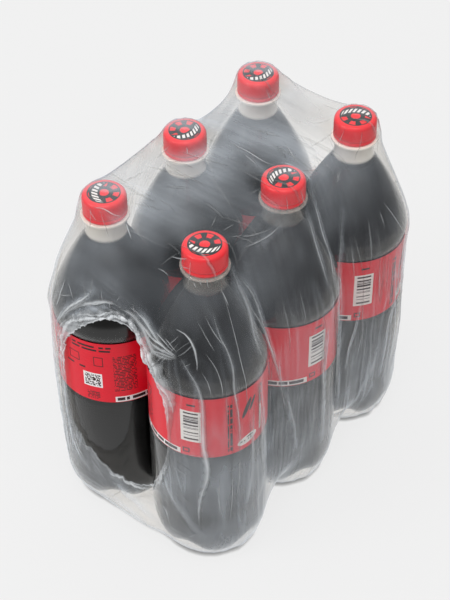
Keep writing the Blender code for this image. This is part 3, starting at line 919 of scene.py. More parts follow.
def finer(distance, rows, columns):
    """Carries a coarse grid's distances over to a grid of rows and columns."""
    coarse_rows = np.linspace(0.0, 1.0, distance.shape[0])
    wrapped = np.concatenate([distance, distance[:, :1]], axis=1)
    coarse_columns = np.linspace(0.0, 1.0, wrapped.shape[1])
    fine_columns = np.arange(columns) / columns
    wide = np.array([np.interp(fine_columns, coarse_columns, row) for row in wrapped])
    return np.array([np.interp(np.linspace(0.0, 1.0, rows), coarse_rows, column) for column in wide.T]).T


def flat_wrap():
    """The tightest flat-sided wrap of all the bottles."""
    shape = bmesh.new()
    for place in PLACES.values():
        for corner in turned(wrapped_outline() + (FILM_GAP, 0.0), 48).reshape(-1, 3):
            shape.verts.new(place + Vector(corner))
    bmesh.ops.convex_hull(shape, input=shape.verts)
    tree = BVHTree.FromBMesh(shape)
    shape.free()
    return tree


def smooth_step(value, start, stop):
    share = np.clip((value - start) / (stop - start), 0.0, 1.0)
    return share * share * (3 - 2 * share)


def near(grid, middle, reach):
    """1 at the middle, and less away from it."""
    return np.exp(-((grid - middle) ** 2).sum(axis=2) / reach ** 2)


def stretched(starts, directions, distance, least, most):
    """Draws the film out towards a flat wrap, over the top and low down at the ends."""
    tree = flat_wrap()
    flat = distance.copy()
    for spot in np.ndindex(distance.shape):
        hit = tree.ray_cast(Vector(starts[spot]), Vector(directions[spot]), REACH)
        if hit[0] is not None:
            flat[spot] = hit[3]
    x, y, z = np.moveaxis(starts, -1, 0)
    upper = np.clip((z - 0.16) / 0.05, 0.0, 1.0)
    low_end = np.clip(np.abs(directions[..., 1]) / 0.5, 0.0, 1.0) * np.clip((0.085 - z) / 0.035, 0.0, 1.0)
    low_end *= 1.0 - smooth_step(x, 0.015, 0.045)
    share = np.maximum(np.interp(y, TAUT_PLACES, TAUT_TOP) * upper, TAUT_END * low_end)
    drawn = np.minimum(distance + share * np.maximum(flat - distance, 0.0), most)
    places = starts + drawn[..., None] * directions
    by_feet = (1.0 - smooth_step(places[..., 2], 0.012, 0.050)) * smooth_step(places[..., 0], 0.030, 0.060)
    return drawn - HUG_FEET * by_feet * (drawn - least)


def doubled(grid):
    """Puts a new row halfway between each pair of rows."""
    padded = np.concatenate([[2 * grid[0] - grid[1]], grid, [2 * grid[-1] - grid[-2]]])
    between = (9 * (padded[1:-2] + padded[2:-1]) - padded[:-3] - padded[3:]) / 16
    both = np.empty((2 * len(grid) - 1,) + grid.shape[1:])
    both[0::2], both[1::2] = grid, between
    return both


def outwards(grid):
    """The direction out of the film at each of its points."""
    along = np.gradient(grid, axis=0)
    around = np.roll(grid, -1, axis=1) - np.roll(grid, 1, axis=1)
    out = np.cross(around, along)
    out /= np.maximum(np.linalg.norm(out, axis=2, keepdims=True), 1e-12)
    return out if (out * (grid - PACK_MIDDLE)).sum() > 0 else -out


def lengths_along(grid):
    """How far along its column each point of the grid lies from the first row."""
    return np.insert(np.cumsum(np.linalg.norm(np.diff(grid, axis=0), axis=2), axis=0), 0, 0.0, axis=0)


def fold_lines(across, along, seed, width=0.25, layer=0.0):
    """Sharp crests where smooth noise crosses nought, long in the second direction."""
    value = noise_at(np.stack(np.broadcast_arrays(across, along, layer), axis=-1), 1.0, seed)
    return np.clip(1.0 - np.abs(value) / width, 0.0, 1.0) ** 1.5


def wrinkled(grid):
    """Lifts the film into slack, long folds and pleats. Gives the folds' crests as well."""
    x, y, z = np.moveaxis(grid, -1, 0)
    along = lengths_along(grid)
    from_rim = np.minimum(along, along[-1] - along)
    along -= along[len(along) // 2]
    around = np.cumsum(np.linalg.norm(np.diff(grid, axis=1, append=grid[:, :1]), axis=2), axis=1)
    wander = 0.006 * noise_at(grid, 9.0, 3.0) + 0.0018 * noise_at(grid, 45.0, 4.0)

    folds = fold_lines((along + wander) / FOLD_SPACING, around * 11.0, 11.0)
    fine_folds = fold_lines((along + wander) / (0.45 * FOLD_SPACING), around * 16.0, 23.0, 0.3)
    strength = np.clip(0.55 + 1.3 * noise_at(grid, 17.0, 31.0), 0.05, 1.5)
    calm = (1.0 - CALMED * smooth_step(z, *OVER_SHOULDERS)) * (0.70 + 0.30 * smooth_step(z, *OVER_LABELS))
    height = FOLD_HEIGHT * calm * (1.0 - CALMED * smooth_step(z, *OVER_CAPS))
    lift = height * (strength * folds + 0.35 * fine_folds - 0.25)
    lift *= 0.5 + 0.5 * smooth_step(z, *OVER_FEET)

    spoke = grid[..., [0, 2]] - HOLE_MIDDLE
    at_end = np.clip((np.abs(y) - 0.100) / 0.012, 0.0, 1.0)
    upright = np.abs(spoke[..., 1]) / np.maximum(np.linalg.norm(spoke, axis=2), 1e-6)
    smooth_side = smooth_step(x, 0.022, 0.032) * (1.0 - smooth_step(z, 0.170, 0.190))
    pleats = fold_lines(around / PLEAT_SPACING, along * 14.0, 47.0, 0.3)
    near_rim = np.exp(-from_rim / PLEAT_REACH) * at_end * (1.0 - 0.85 * smooth_side)
    lift += PLEAT_HEIGHT * pleats * near_rim * (0.35 + 0.65 * upright)
    gathers = fold_lines(along / GATHER_SPACING, around * 18.0, 59.0, 0.35)
    at_foot = (1.0 - smooth_step(z, 0.018, 0.040)) * (z > 0.002)
    lift += GATHER_HEIGHT * gathers * at_foot
    crumple = (noise_at(grid, 140.0, 71.0) + 0.4) * np.exp(-from_rim / CRUMPLE_REACH)
    lift += CRUMPLE_HEIGHT * crumple * at_end * (1.0 - smooth_side)

    for middle, reach, rise in SLACK:
        lift += rise * near(grid, middle, reach * math.sqrt(0.5))
    lift *= 1.0 - 0.7 * (1.0 - smooth_step(z, 0.020, 0.060)) * smooth_step(x, 0.030, 0.060)
    lift[z < 0.0015] = 0.0
    moved = grid + outwards(grid) * lift[..., None]
    moved[..., 2] = np.maximum(moved[..., 2], TABLE_GAP)
    crests = np.maximum.reduce([calm * strength * folds, 0.4 * calm ** 2 * fine_folds,
                                pleats * near_rim, 0.6 * gathers * at_foot])
    return moved, np.clip(crests, 0.0, 1.3)


def five_rows(values):
    """Each row with its two neighbours on each side."""
    padded = np.concatenate([values[:2], values, values[-2:]])
    return np.array([padded[step:len(values) + step] for step in range(5)])


def cleared(grid):
    """Moves the film out wherever one of its faces would cut into a bottle."""
    for _ in range(6):
        right = np.roll(grid, -1, axis=1)
        corner, edge, middle = (FILM_GAP - gap_to_bottles(points) for points in (
            grid, (grid + right) / 2, (grid[:-1] + grid[1:] + right[:-1] + right[1:]) / 4))
        push = np.maximum(corner, np.maximum(edge, np.roll(edge, 1, axis=1)))
        middle = np.maximum(middle, np.roll(middle, 1, axis=1))
        push[:-1] = np.maximum(push[:-1], middle)
        push[1:] = np.maximum(push[1:], middle)
        push = np.where(push < MOST_PUSH, np.maximum(push, 0.0), 0.0)
        wide = np.maximum.reduce([push, np.roll(push, 1, axis=1), np.roll(push, -1, axis=1)])
        wide = five_rows(five_rows(wide).max(axis=0)).mean(axis=0)
        grid = grid + outwards(grid) * np.maximum(push, wide)[..., None]
        grid[..., 2] = np.maximum(grid[..., 2], TABLE_GAP)
    return grid


def film_grid():
    starts, directions = film_rays()
    least, most = least_and_most(starts, directions)
    distance = None
    for stride, passes in RELAXING:
        part = (slice(None, None, stride), slice(None, None, stride))
        rows, columns = least[part].shape
        distance = least[part] if distance is None else finer(distance, rows, columns)
        distance = settled(starts[part], directions[part], least[part], most[part],
                           np.clip(distance, least[part], most[part]), passes)
    distance = stretched(starts, directions, distance, least, most)
    moved, crests = wrinkled(doubled(starts + distance[..., None] * directions))
    return cleared(moved), crests


HAZE_HEIGHTS = (0.0, 0.05, 0.11, 0.15, 0.19, 0.215, 0.245, 0.262, 0.280)
HAZE_RIGHT = (0.180, 0.185, 0.165, 0.125, 0.080, 0.090, 0.12, 0.12, 0.09)   # on the clearer long side
HAZE_LEFT = (0.175, 0.175, 0.165, 0.135, 0.105, 0.125, 0.205, 0.215, 0.17)
HAZE_BACK = 0.12             # more of it towards the back of the top
CREST_HAZE_AND_HIGHLIGHT = 0.11            # a crest is film folded on itself, so milkier, and whiter still as a painted highlight along it
MILK_AND_PAINTED_LIGHT_SPOTS = (               # middle, reach and how much more or less: partly milkiness, partly painted light and shade
    ((-0.003, -0.108, 0.240), 0.020, 0.04), ((0.057, -0.080, 0.250), 0.018, 0.05),
    ((0.064, -0.085, 0.243), 0.024, 0.16), ((0.077, -0.090, 0.212), 0.018, 0.17),
    ((0.005, -0.062, 0.274), 0.030, 0.10), ((0.028, 0.027, 0.270), 0.030, 0.11),
    ((-0.015, 0.010, 0.274), 0.045, 0.04), ((0.031, -0.042, 0.274), 0.018, 0.02),
    ((-0.024, -0.110, 0.234), 0.024, -0.04), ((0.062, -0.110, 0.205), 0.022, -0.02),
    ((0.064, -0.030, 0.243), 0.026, -0.02), ((0.060, 0.065, 0.259), 0.016, 0.05),
    ((-0.027, -0.017, 0.275), 0.016, -0.06), ((0.082, -0.095, 0.085), 0.026, 0.04),
    ((0.078, -0.105, 0.128), 0.022, -0.03),
)
HAZE_SIDES = (-0.030, 0.035)      # x, from the hazier long side to the clearer one
BACK_GROWS = (-0.07, 0.05)   # y and z over which the back's own haze comes in
TOP_GROWS = (0.20, 0.24)
CLEAR_SHOULDER = (0.050, -0.095, 0.205)   # stretched tightest here, so clearest
CLEAR_REACH = 0.050
CLEAR_BY_CAP = 0.65          # how much clearer it is where each cap pulls it towards the open corner
OPEN_CORNER = (0.55, -0.83)
CAP_PULLS = (0.0180, 0.0290)      # distances from the cap's middle over which the pull dies down
CAP_PULL_HEIGHTS = (0.248, 0.258)


def haze_on(grid, crests):
    """How milky the film is at each point, from 0 to 1, with painted light and shade in some spots and a
    painted highlight along the crests.
    """
    x, y, z = np.moveaxis(grid, -1, 0)
    side = smooth_step(x, *HAZE_SIDES)
    left, right = np.interp(z, HAZE_HEIGHTS, HAZE_LEFT), np.interp(z, HAZE_HEIGHTS, HAZE_RIGHT)
    haze = (1 - side) * left + side * right
    haze += HAZE_BACK * smooth_step(y, *BACK_GROWS) * smooth_step(z, *TOP_GROWS) * (1 - 0.7 * side)
    haze *= 1.0 - 0.25 * smooth_step(y, -0.05, 0.0) * (1 - smooth_step(z, 0.11, 0.15))
    # Spots set to how bright the film looks there: partly milkiness, partly painted light and shade.
    for middle, reach, more in MILK_AND_PAINTED_LIGHT_SPOTS:
        haze += more * near(grid, middle, reach)
    haze *= 1.0 - 0.80 * near(grid, CLEAR_SHOULDER, CLEAR_REACH)
    for place in PLACES.values():
        off_x, off_y = x - place.x, y - place.y
        from_cap = np.hypot(off_x, off_y)
        towards_corner = (OPEN_CORNER[0] * off_x + OPEN_CORNER[1] * off_y) / np.maximum(from_cap, 0.001)
        pulled_clear = (1 - smooth_step(from_cap, *CAP_PULLS)) * smooth_step(towards_corner, -0.5, 0.4)
        haze *= 1.0 - CLEAR_BY_CAP * pulled_clear * smooth_step(z, *CAP_PULL_HEIGHTS)
    cloud = noise_at(grid, 20.0, 83.0) + 0.4 * noise_at(grid, 60.0, 89.0)
    haze *= np.clip(1.0 + 0.8 * cloud, 0.35, 1.9)
    haze = np.maximum(haze, 0.0) * smooth_step(haze, 0.0, 0.030)
    # Crests get more white: doubled film, and partly a painted highlight.
    return np.clip(haze + CREST_HAZE_AND_HIGHLIGHT * crests ** 1.5 * (0.35 + 8.0 * haze), 0.0, 0.7)


def shrink_film():
    """Thin film: nearly clear where it is tight, milky and streaked where it has shrunk, with painted
    highlights along its folds.
    """
    looks = {"Base Color": (0.73, 0.79, 0.86, 1.0), "Roughness": 0.24}
    material, tree, shader = new_material("shrink_film", looks)
    place = add_node(tree, "TexCoord").outputs["Object"]
    streaks = []
    for scale in ((18.0, 250.0, 14.0), (250.0, 18.0, 14.0)):     # across the sides, and across the ends
        drawn_out = add_node(tree, "Mapping", {"Vector": place, "Scale": scale}).outputs[0]
        streaks.append(noise_on(tree, 1.0, 1.0, drawn_out))
    streak = spread(tree, blend(tree, kept_numbers(tree, "at_end"), *streaks), 0.94, 1.07, 0.38, 0.66)
    milky_with_painted_light = maths(tree, "MULTIPLY", kept_numbers(tree, "haze"), streak)
    cover = maths(tree, "ADD", milky_with_painted_light, mirror_share(tree), clamp=True)
    see_through(tree, (0.970, 0.948, 0.918, 1.0), cover, shader)
    return material


def sheet_faces(grid, closed=False):
    """Faces between the grid's rows, and from the last row back to the first of a closed one."""
    rows, columns = grid.shape[:2]
    index = np.arange(rows * columns).reshape(rows, columns)
    above = np.roll(index, -1, axis=0)
    faces = np.stack([index, np.roll(index, -1, axis=1), np.roll(above, -1, axis=1), above], axis=-1)
    return faces[:rows if closed else rows - 1].reshape(-1, 4).tolist()


def film_piece(grid, crests, band_highlights):
    mesh = make_mesh("film_wrap", grid.reshape(-1, 3), sheet_faces(grid), shrink_film(), sharp=180.0)
    # The haze also carries the bands' painted highlights.
    keep_numbers(mesh, "haze", np.clip(haze_on(grid, crests) + band_highlights, 0.0, 0.8))
    keep_numbers(mesh, "at_end", smooth_step(np.abs(grid[..., 1]), 0.104, 0.120))
    return add_piece("film_wrap", mesh, "film")


FRAME_MIDDLE = Vector((225.0, 300.0))    # across and down, in a frame of 450 by 600
FRAME_TALL = 600.0
SENSOR = 36.0                # millimetres, for the frame's height


def seen_on(tree, across, down):
    """The point of the film that the camera frames at across and down."""
    camera = bpy.context.scene.camera
    focal = CAMERA_LENS / SENSOR * FRAME_TALL
    ray = Vector(((across - FRAME_MIDDLE.x) / focal, (FRAME_MIDDLE.y - down) / focal, -1.0))
    ray = camera.matrix_world.to_3x3() @ ray
    return tree.ray_cast(camera.matrix_world.translation, ray.normalized())[0]


def route_on(tree, places):
    """The points of the film at those places of the frame that it covers."""
    route = [seen_on(tree, *place) for place in places]
    return [tuple(place) for place in route if place is not None]


def tree_of(grid):
    return BVHTree.FromPolygons([tuple(point) for point in grid.reshape(-1, 3)], sheet_faces(grid))


BAND_RISE = 0.0011
BANDS = (                    # width in millimetres, whiteness as a painted highlight along the fold, then places as the camera frames them
    (6.5, .20, (256, 366), (260, 395), (262, 425), (262, 455), (262, 480), (258, 500)),
    (3.6, .20, (250, 400), (252, 440), (250, 480), (246, 505)),
    (5.5, .18, (229, 262), (237, 283), (248.7, 309.8), (254.4, 336.6), (262, 362)),
    (5.0, .17, (235, 271), (252.5, 294.4), (262, 321), (271.6, 352), (279, 376), (285, 396)),
    (5.5, .18, (342.3, 205), (341, 242), (338.4, 291), (338.2, 329), (337, 367), (337, 400), (335, 430)),
    (6.0, .20, (325, 305), (325.5, 342), (323, 367.6), (323, 393), (321.6, 418.6), (320.4, 445)),
    (4.5, .16, (281, 384), (287, 405), (292, 425), (295, 450)),
    (4.0, .14, (304, 203), (309.2, 222.5), (315.8, 245.7), (324, 272.2), (329, 292)),
    (4.0, .14, (308, 186), (315.8, 209.2), (322.4, 234), (330.7, 259), (335, 283.8), (336, 302)),
    (4.0, .18, (360, 303), (355, 326.7), (348.4, 348.4), (344, 370)),
    (4.5, .20, (398, 280), (393, 303.8), (386.7, 329), (383, 352), (378, 378)),
    (5.0, .12, (285, 218), (272.7, 232.4), (256, 242.4), (238, 250)),
    (5.0, .10, (240, 150), (257.8, 166), (270, 178)),
    (4.0, .18, (68, 225), (62, 250), (57, 268), (53.5, 290), (52, 312)),
    (5.0, .22, (54, 300), (53, 330), (57, 362), (61, 395), (65, 430), (72, 463)),
    (5.0, .18, (64, 370), (68, 405), (75, 440), (90, 470)),
    (7.0, .26, (116, 482), (128, 494), (142, 506), (156, 520)),
    (6.0, .22, (112, 492), (124, 504), (140, 517), (158, 530)),
    (4.0, .22, (180, 357), (192, 378), (200, 397), (202.5, 424), (204, 448), (207, 470), (201, 497),
     (199, 520)),
    (3.6, .14, (211, 310), (220, 336.6), (227.6, 352), (232.4, 367), (236, 400), (239, 430), (239, 461)),
    (6.0, .12, (166, 480), (176, 500), (190, 520), (205, 538)),
    (5.0, .12, (222, 470), (222, 500), (224, 530)),
    (4.5, .24, (97, 288), (83, 299), (71, 306), (62, 315), (57, 326)),
    (5.0, .20, (70, 318), (84, 312), (98, 309), (110, 307)),
    (6.0, .26, (137, 312), (146, 320), (152, 330), (160, 340)),
)


def banded(grid):
    """Lifts the film along its broadest folds. Gives their whiteness as well, a painted highlight along
    each.
    """
    tree = tree_of(grid)
    lift, white = np.zeros(grid.shape[:2]), np.zeros(grid.shape[:2])
    for width, whiteness, *places in BANDS:
        line = smooth_line(route_on(tree, places), 40)
        swell = np.sin(np.linspace(0.0, 1.0, len(line)) * math.pi) ** 0.5
        nearest, size = np.full(grid.shape[:2], 1.0), np.zeros(grid.shape[:2])
        for place, strength in zip(line, swell):
            away = np.linalg.norm(grid - place, axis=2)
            size = np.where(away < nearest, strength, size)
            nearest = np.minimum(nearest, away)
        shape = np.exp(-(nearest / (0.0005 * width)) ** 2) * size
        lift = np.maximum(lift, shape * BAND_RISE)
        # A painted highlight along the band.
        white = np.maximum(white, shape * whiteness)
    return grid + outwards(grid) * lift[..., None], white


film_sheet, film_crests = film_grid()
film_sheet, film_band_highlights = banded(film_sheet)
film_piece(film_sheet, film_crests, film_band_highlights)


# --- Rolled rims of the film -------------------------------------------------------
# Round each hole the shrunk edge has rolled and crumpled into a collar of several
# layers, thick over the shoulders and thin down the sides.

COLLAR_ANGLES = (-180, -150, -125, -95, -55, -20, 0, 20, 45, 75, 100, 135, 160, 180)     # degrees
COLLAR_WIDTHS = (2.5, 1.6, 2.0, 5.0, 6.0, 2.0, 2.0, 5.0, 15.0, 9.0, 9.0, 15.0, 10.0, 3.0)   # millimetres
COLLAR_ROWS = 100            # of the film, from the rim, that the collar may reach over
COLLAR_ACROSS = 22
COLLAR_FINER = 3
STRAND_SPACING = 0.0040
CROSS_SPACING = 0.0110
COLLAR_RISE = 0.0016
COLLAR_OFF = 0.00035         # how far its outer face is off the film at least
COLLAR_UNDER = 0.00008
COLLAR_BROAD = 0.009         # the width from which its folds stand nearly full
STRANDS_GROW = (0.0020, 0.0060)   # widths over which each kind of fold comes in
CROSS_GROW = (0.0030, 0.0080)
CRUMPLE_GROWS = (0.004, 0.010)
MATTED_GROWS = (0.006, 0.012)
EDGE_REACH = 0.0009          # of the rolled edge itself
EDGE_RISE = 0.0006


def rim_strip(sheet, end):
    """Points from the rim outwards over the film, across the collar's width."""
    rows = (sheet if end < 0 else sheet[::-1])[:COLLAR_ROWS]
    columns = rows.shape[1]
    fine = np.arange(columns * COLLAR_FINER) / COLLAR_FINER
    wrapped = np.concatenate([rows, rows[:, :1]], axis=1)
    rows = np.array([[np.interp(fine, np.arange(columns + 1), numbers) for numbers in row.T]
                     for row in wrapped]).transpose(0, 2, 1)
    reach = lengths_along(rows)
    spoke = rows[0][:, [0, 2]] - HOLE_MIDDLE
    angle = np.degrees(np.arctan2(spoke[:, 1], -end * spoke[:, 0]))
    width = np.interp(angle, COLLAR_ANGLES, COLLAR_WIDTHS) / 1000
    uneven = noise_in(np.insert(260.0 * rows[0][:, [0, 2]], 2, 3.0 * end, axis=1))
    width *= 1.0 + np.interp(width, (0.003, 0.008), (0.08, 0.35)) * uneven
    shares = np.linspace(0.0, 1.0, COLLAR_ACROSS)
    strip = np.array([[np.interp(shares * width[column], reach[:, column], rows[:, column, axis])
                       for axis in range(3)] for column in range(rows.shape[1])])
    return strip.transpose(2, 0, 1), width


def folded_film():
    """Film several layers thick: whiter, and glossy along each fold. On the creases part of the white is a
    painted highlight.
    """
    if "folded_film" in bpy.data.materials:
        return bpy.data.materials["folded_film"]
    looks = {"Base Color": (0.84, 0.87, 0.90, 1.0), "Roughness": 0.20}
    material, tree, shader = new_material("folded_film", looks)
    patchy = spread(tree, noise_on(tree, 70.0, 1.0), 0.75, 1.12)
    cover = maths(tree, "MULTIPLY", kept_numbers(tree, "fold"), patchy, clamp=True)
    see_through(tree, (0.93, 0.93, 0.925, 1.0), cover, shader)
    return material


def folded_piece(name, points, faces, whiteness):
    mesh = make_mesh(name, points, faces, folded_film(), sharp=180.0)
    keep_numbers(mesh, "fold", whiteness)
    return add_piece(name, mesh)


def add_collar(name, sheet, end):
    strip, width = rim_strip(sheet, end)
    out = outwards(strip)
    if (out[..., 1] * end).sum() < 0:
        out = -out
    shares = np.linspace(0.0, 1.0, COLLAR_ACROSS)[:, None]
    length = np.cumsum(np.linalg.norm(np.diff(strip[0], axis=0, append=strip[0][:1]), axis=1))
    inwards = shares * width
    sway = 0.0012 * noise_at(strip, 90.0, 5.0) + 0.0050 * noise_at(strip, 32.0, 7.0)
    strands = fold_lines((inwards + sway) / STRAND_SPACING, length * 17.0, 13.0, 0.30, end)
    strands = strands * smooth_step(width, *STRANDS_GROW)
    cross_folds = fold_lines(inwards * 90.0, (length + 2 * sway) / CROSS_SPACING, 17.0, 0.28, end)
    cross_folds = cross_folds * smooth_step(width, *CROSS_GROW)
    edge = np.exp(-(inwards / EDGE_REACH) ** 2)
    fade = np.clip((1.0 - shares) * 2.2, 0.0, 1.0) ** 0.8
    wide = np.clip(width / COLLAR_BROAD, 0.25, 1.2)
    fold = np.maximum.reduce([
        np.maximum(strands, 0.45 * cross_folds) * fade,
        edge * np.clip(width / 0.008, 0.35, 1.0),
        0.42 * fade * smooth_step(width, *MATTED_GROWS),
    ])
    crumple = 0.35 * noise_at(strip, 130.0, 19.0) * smooth_step(width, *CRUMPLE_GROWS)
    rise = COLLAR_RISE * wide * (np.maximum(strands, 0.5 * cross_folds) + crumple) * fade
    rise += EDGE_RISE * edge + COLLAR_OFF
    grid = np.concatenate([strip + out * rise[..., None], strip[::-1] + out[::-1] * COLLAR_UNDER])
    grid[..., 2] = np.maximum(grid[..., 2], TABLE_GAP)
    whiteness = np.concatenate([0.05 + 0.75 * fold * wide ** 0.5, np.zeros(fold.shape)])
    folded_piece(name, grid.reshape(-1, 3), sheet_faces(grid, closed=True), whiteness)


add_collar("front_collar", film_sheet, -1.0)
add_collar("back_collar", film_sheet, 1.0)


# --- Creases in the film -----------------------------------------------------------
# Where the film shrank over itself it folded into fine doubled ridges. They run down
# from the caps, up from the feet, and out from the torn holes, along the lines of pull.

# The creases' white crests are partly doubled film and partly a painted highlight.
CREASE_STEP = 0.0025
CREASE_SECTION = (           # across, up and whiteness, as shares of the whole crease's
    (-0.5, 0.05, 0.0), (-0.24, 0.5, 0.38), (0.0, 1.0, 1.0), (0.24, 0.5, 0.38), (0.5, 0.05, 0.0),
    (0.0, -0.1, 0.0),
)
CREASE_WIDTHS = 1.35         # times the widths below
# Scales the seen creases' whiteness, which is partly a painted highlight.
CREASE_WHITENESS_AND_HIGHLIGHT = 0.9
SEEN_CREASES = (             # width in millimetres, whiteness that is partly a painted highlight, then places as the camera frames them
    (5.0, .55, (118, 308), (132, 315), (142, 327), (148, 340), (154, 352), (166, 358), (178, 358.5)),
    (3.4, .50, (128, 306), (143, 318), (153, 333), (163, 346), (177, 356)),
    (3.4, .50, (72, 311), (80, 306), (92, 303), (108, 302), (124, 309)),
    (4.0, .45, (62, 322), (66, 313), (76, 306), (86, 299)),
    (0.9, .60, (220, 283), (225.7, 302), (231.4, 323), (237.2, 346), (243, 371), (246.7, 394),
     (248.7, 419)),
    (2.2, .45, (211.3, 309.8), (220, 336.6), (227.6, 352), (232.4, 367), (234.3, 390), (238, 413),
     (240, 436), (239, 461)),
    (0.9, .40, (197, 320), (204.6, 334.6), (216, 353.8)),
    (1.2, .35, (203.7, 313.6), (214, 332.7), (227.6, 350)),
    (1.9, .70, (174, 328), (185.5, 334.6), (193.2, 346), (197, 361.4), (197, 373)),
    (4.4, .62, (179.8, 356.7), (189.3, 373), (197, 386.3), (201.8, 401.6), (202.7, 424.6), (203.7, 447.6),
     (207.5, 468.6), (206.6, 480), (200.8, 497.3), (198.9, 514.5), (200.8, 535.6)),
    (1.0, .45, (200.8, 371), (208.5, 384.4), (211.3, 397.8)),
    (1.1, .50, (204.6, 352), (216, 369), (221.9, 386.3), (222.8, 401.6)),
    (1.0, .45, (154.9, 359.5), (160.6, 376.7), (166.4, 397.8)),
    (1.2, .45, (220, 476), (219, 497), (221, 520)),
    (1.2, .50, (231.4, 463), (232.4, 489.7), (230.5, 512.6), (227.6, 528)),
    (1.7, .40, (240, 452), (239, 478), (236, 500)),
    (3.4, .35, (258, 384), (262, 423), (262, 451), (264, 480)),
    (1.4, .45, (250, 420), (252, 450), (250, 480)),
    (0.9, .40, (275.5, 359.5), (283, 398), (287, 423)),
    (3.2, .32, (229.5, 263.8), (237.2, 283), (248.7, 309.8), (254.4, 336.6), (264, 367)),
    (2.6, .32, (235, 271.5), (252.5, 294.4), (262, 321), (271.6, 352), (279, 374.8)),
    (0.8, .50, (193, 281), (197, 289)),
    (0.8, .50, (199, 279), (202, 287)),
    (0.8, .45, (206.5, 277), (208.5, 290)),
    (1.4, .50, (219.6, 287), (224.6, 297), (229.6, 308.7)),
    (1.2, .45, (169, 255.7), (179.8, 258.5), (189, 258.8)),
    (0.9, .40, (180.6, 266.3), (190.3, 268.7)),
    (1.3, .40, (156.3, 267.5), (166, 272.4), (169.7, 278.4)),
    (1.3, .50, (227.9, 141.2), (249.5, 153), (266, 162.8), (281, 167.8)),
    (1.0, .45, (282.6, 139.6), (291, 153), (299.2, 166)),
    (1.8, .25, (242.9, 153), (257.8, 166)),
    (2.0, .35, (284.3, 219.2), (272.7, 232.4), (256, 242.4), (239.5, 249)),
    (1.5, .30, (272.7, 229), (249.5, 235.8), (229.6, 237.4)),
    (2.0, .42, (304.2, 206), (309.2, 222.5), (315.8, 245.7), (324, 272.2), (329, 290.5)),
    (1.8, .42, (307.5, 187.7), (315.8, 209.2), (322.4, 234), (330.7, 259), (334, 283.8), (335.7, 300.4)),
    (3.2, .34, (342.3, 209), (340.7, 242), (338.4, 291), (338.2, 329.3), (337, 367.6), (337, 399.5)),
    (1.0, .55, (382, 201), (392, 214), (403.7, 234)),
    (1.0, .45, (378.8, 209), (385.5, 230.8)),
    (3.4, .36, (324, 311.4), (325.5, 342), (323, 367.6), (323, 393), (321.6, 418.6), (320.4, 439)),
    (2.2, .30, (334.4, 311.4), (337, 342), (335.7, 380), (334.4, 412)),
    (1.9, .62, (358.6, 307.6), (354.8, 326.7), (348.4, 348.4), (344.6, 367.6)),
    (1.0, .50, (362.4, 329), (358.6, 348), (354.8, 362)),
    (1.2, .55, (386.7, 354.8), (384, 370), (377.8, 386.7)),
    (1.8, .55, (398, 284.6), (393, 303.8), (386.7, 329), (384, 348.4)),
    (1.4, .50, (404, 252.8), (401.5, 291), (396.5, 322.9)),
    (2.6, .34, (240, 284.6), (249, 303.8), (260.4, 322.9), (270.6, 348.4), (278.3, 374), (283.4, 393)),
    (2.6, .32, (280.8, 388), (291, 412), (294.8, 439)),
    (2.0, .35, (380, 263), (379, 284.6), (380, 303.8)),
    (1.2, .35, (393, 255), (391.8, 282), (389, 306)),
    (1.4, .45, (67.9, 227.5), (63, 250.6), (57.5, 267.5), (54, 287), (52.5, 307.5)),
    (1.6, .60, (66.7, 276), (61.8, 289.3), (58.2, 301.5), (54.5, 310)),
    (1.1, .50, (59.4, 268.7), (56.5, 280.9), (53, 295.4)),
    (2.4, .75, (93.3, 290.6), (81.2, 300.3), (70.3, 306.3), (63, 313.6), (58.2, 323.3)),
    (1.8, .65, (81.2, 302.7), (94.5, 304), (109, 302.7), (110.3, 311.2)),
    (1.4, .35, (56.5, 293), (64.2, 295.4), (73.9, 294.8)),
    (1.6, .40, (92, 207), (104.2, 209.4), (115, 215.4), (123.6, 216.6)),
    (1.1, .45, (88.5, 208), (94.5, 217.9), (98, 222.7)),
    (1.8, .55, (124.8, 221.5), (129.7, 232.4), (132, 242)),
    (1.2, .50, (52, 312), (53.5, 328), (58, 360), (61.5, 384), (64.5, 415), (66.5, 439), (73, 463)),
    (1.0, .45, (57, 330), (60, 365), (63.5, 400), (68, 430), (75, 455)),
    (1.6, .40, (60, 375), (62, 420), (66, 450), (76, 470)),
    (1.8, .45, (72, 425), (79, 448), (92, 468)),
    (1.5, .35, (84, 446), (98, 468), (113, 488)),
    (3.2, .60, (136, 318), (146, 330), (158, 342), (177, 357)),
    (2.6, .60, (141, 326), (152, 338), (165, 348), (178, 357.5)),
    (3.0, .70, (146, 338), (156, 347), (168, 353), (178, 358)),
    (2.4, .60, (148, 352), (158, 352), (168, 356), (178, 358.5)),
    (1.2, .55, (154, 330), (164, 341), (176, 354)),
    (1.0, .50, (163, 336), (170, 344), (178, 354)),
    (1.2, .60, (162, 502), (167, 512), (170, 526)),
    (1.0, .60, (154, 503), (160, 512), (163, 524)),
    (1.0, .55, (148, 492), (155, 497), (158, 506)),
)
SEED = 61
LONG_CREASES = (             # how many, first and last column, run, margin, slant, width and whiteness
    (40, 40, 100, (8.0, 26.0), 60, 4, (0.0012, 0.0030), (0.08, 0.32)),      # left wall
    (40, 170, 232, (8.0, 26.0), 60, 4, (0.0012, 0.0030), (0.08, 0.32)),     # right wall
    (26, 112, 160, (5.0, 16.0), 80, 8, (0.0015, 0.0035), (0.06, 0.20)),     # top
)
END_CREASES = 44
END_STARTS = (4.0, 30.0)     # rows of the film, from each rim
END_RUNS = (10.0, 34.0)
END_SLANT = 3.0
END_LOOKS = ((0.0007, 0.0015), (0.15, 0.45))   # width and whiteness, here and below
CAP_CREASES = 6
CAP_CREASE_HEIGHTS = (0.274, 0.268, 0.262)
CAP_STARTS = (0.015, 0.018)  # from the cap's middle
CAP_STOPS = (0.024, 0.042)
CAP_LOOKS = ((0.0009, 0.0018), (0.10, 0.30))
FOOT_CREASES = 60
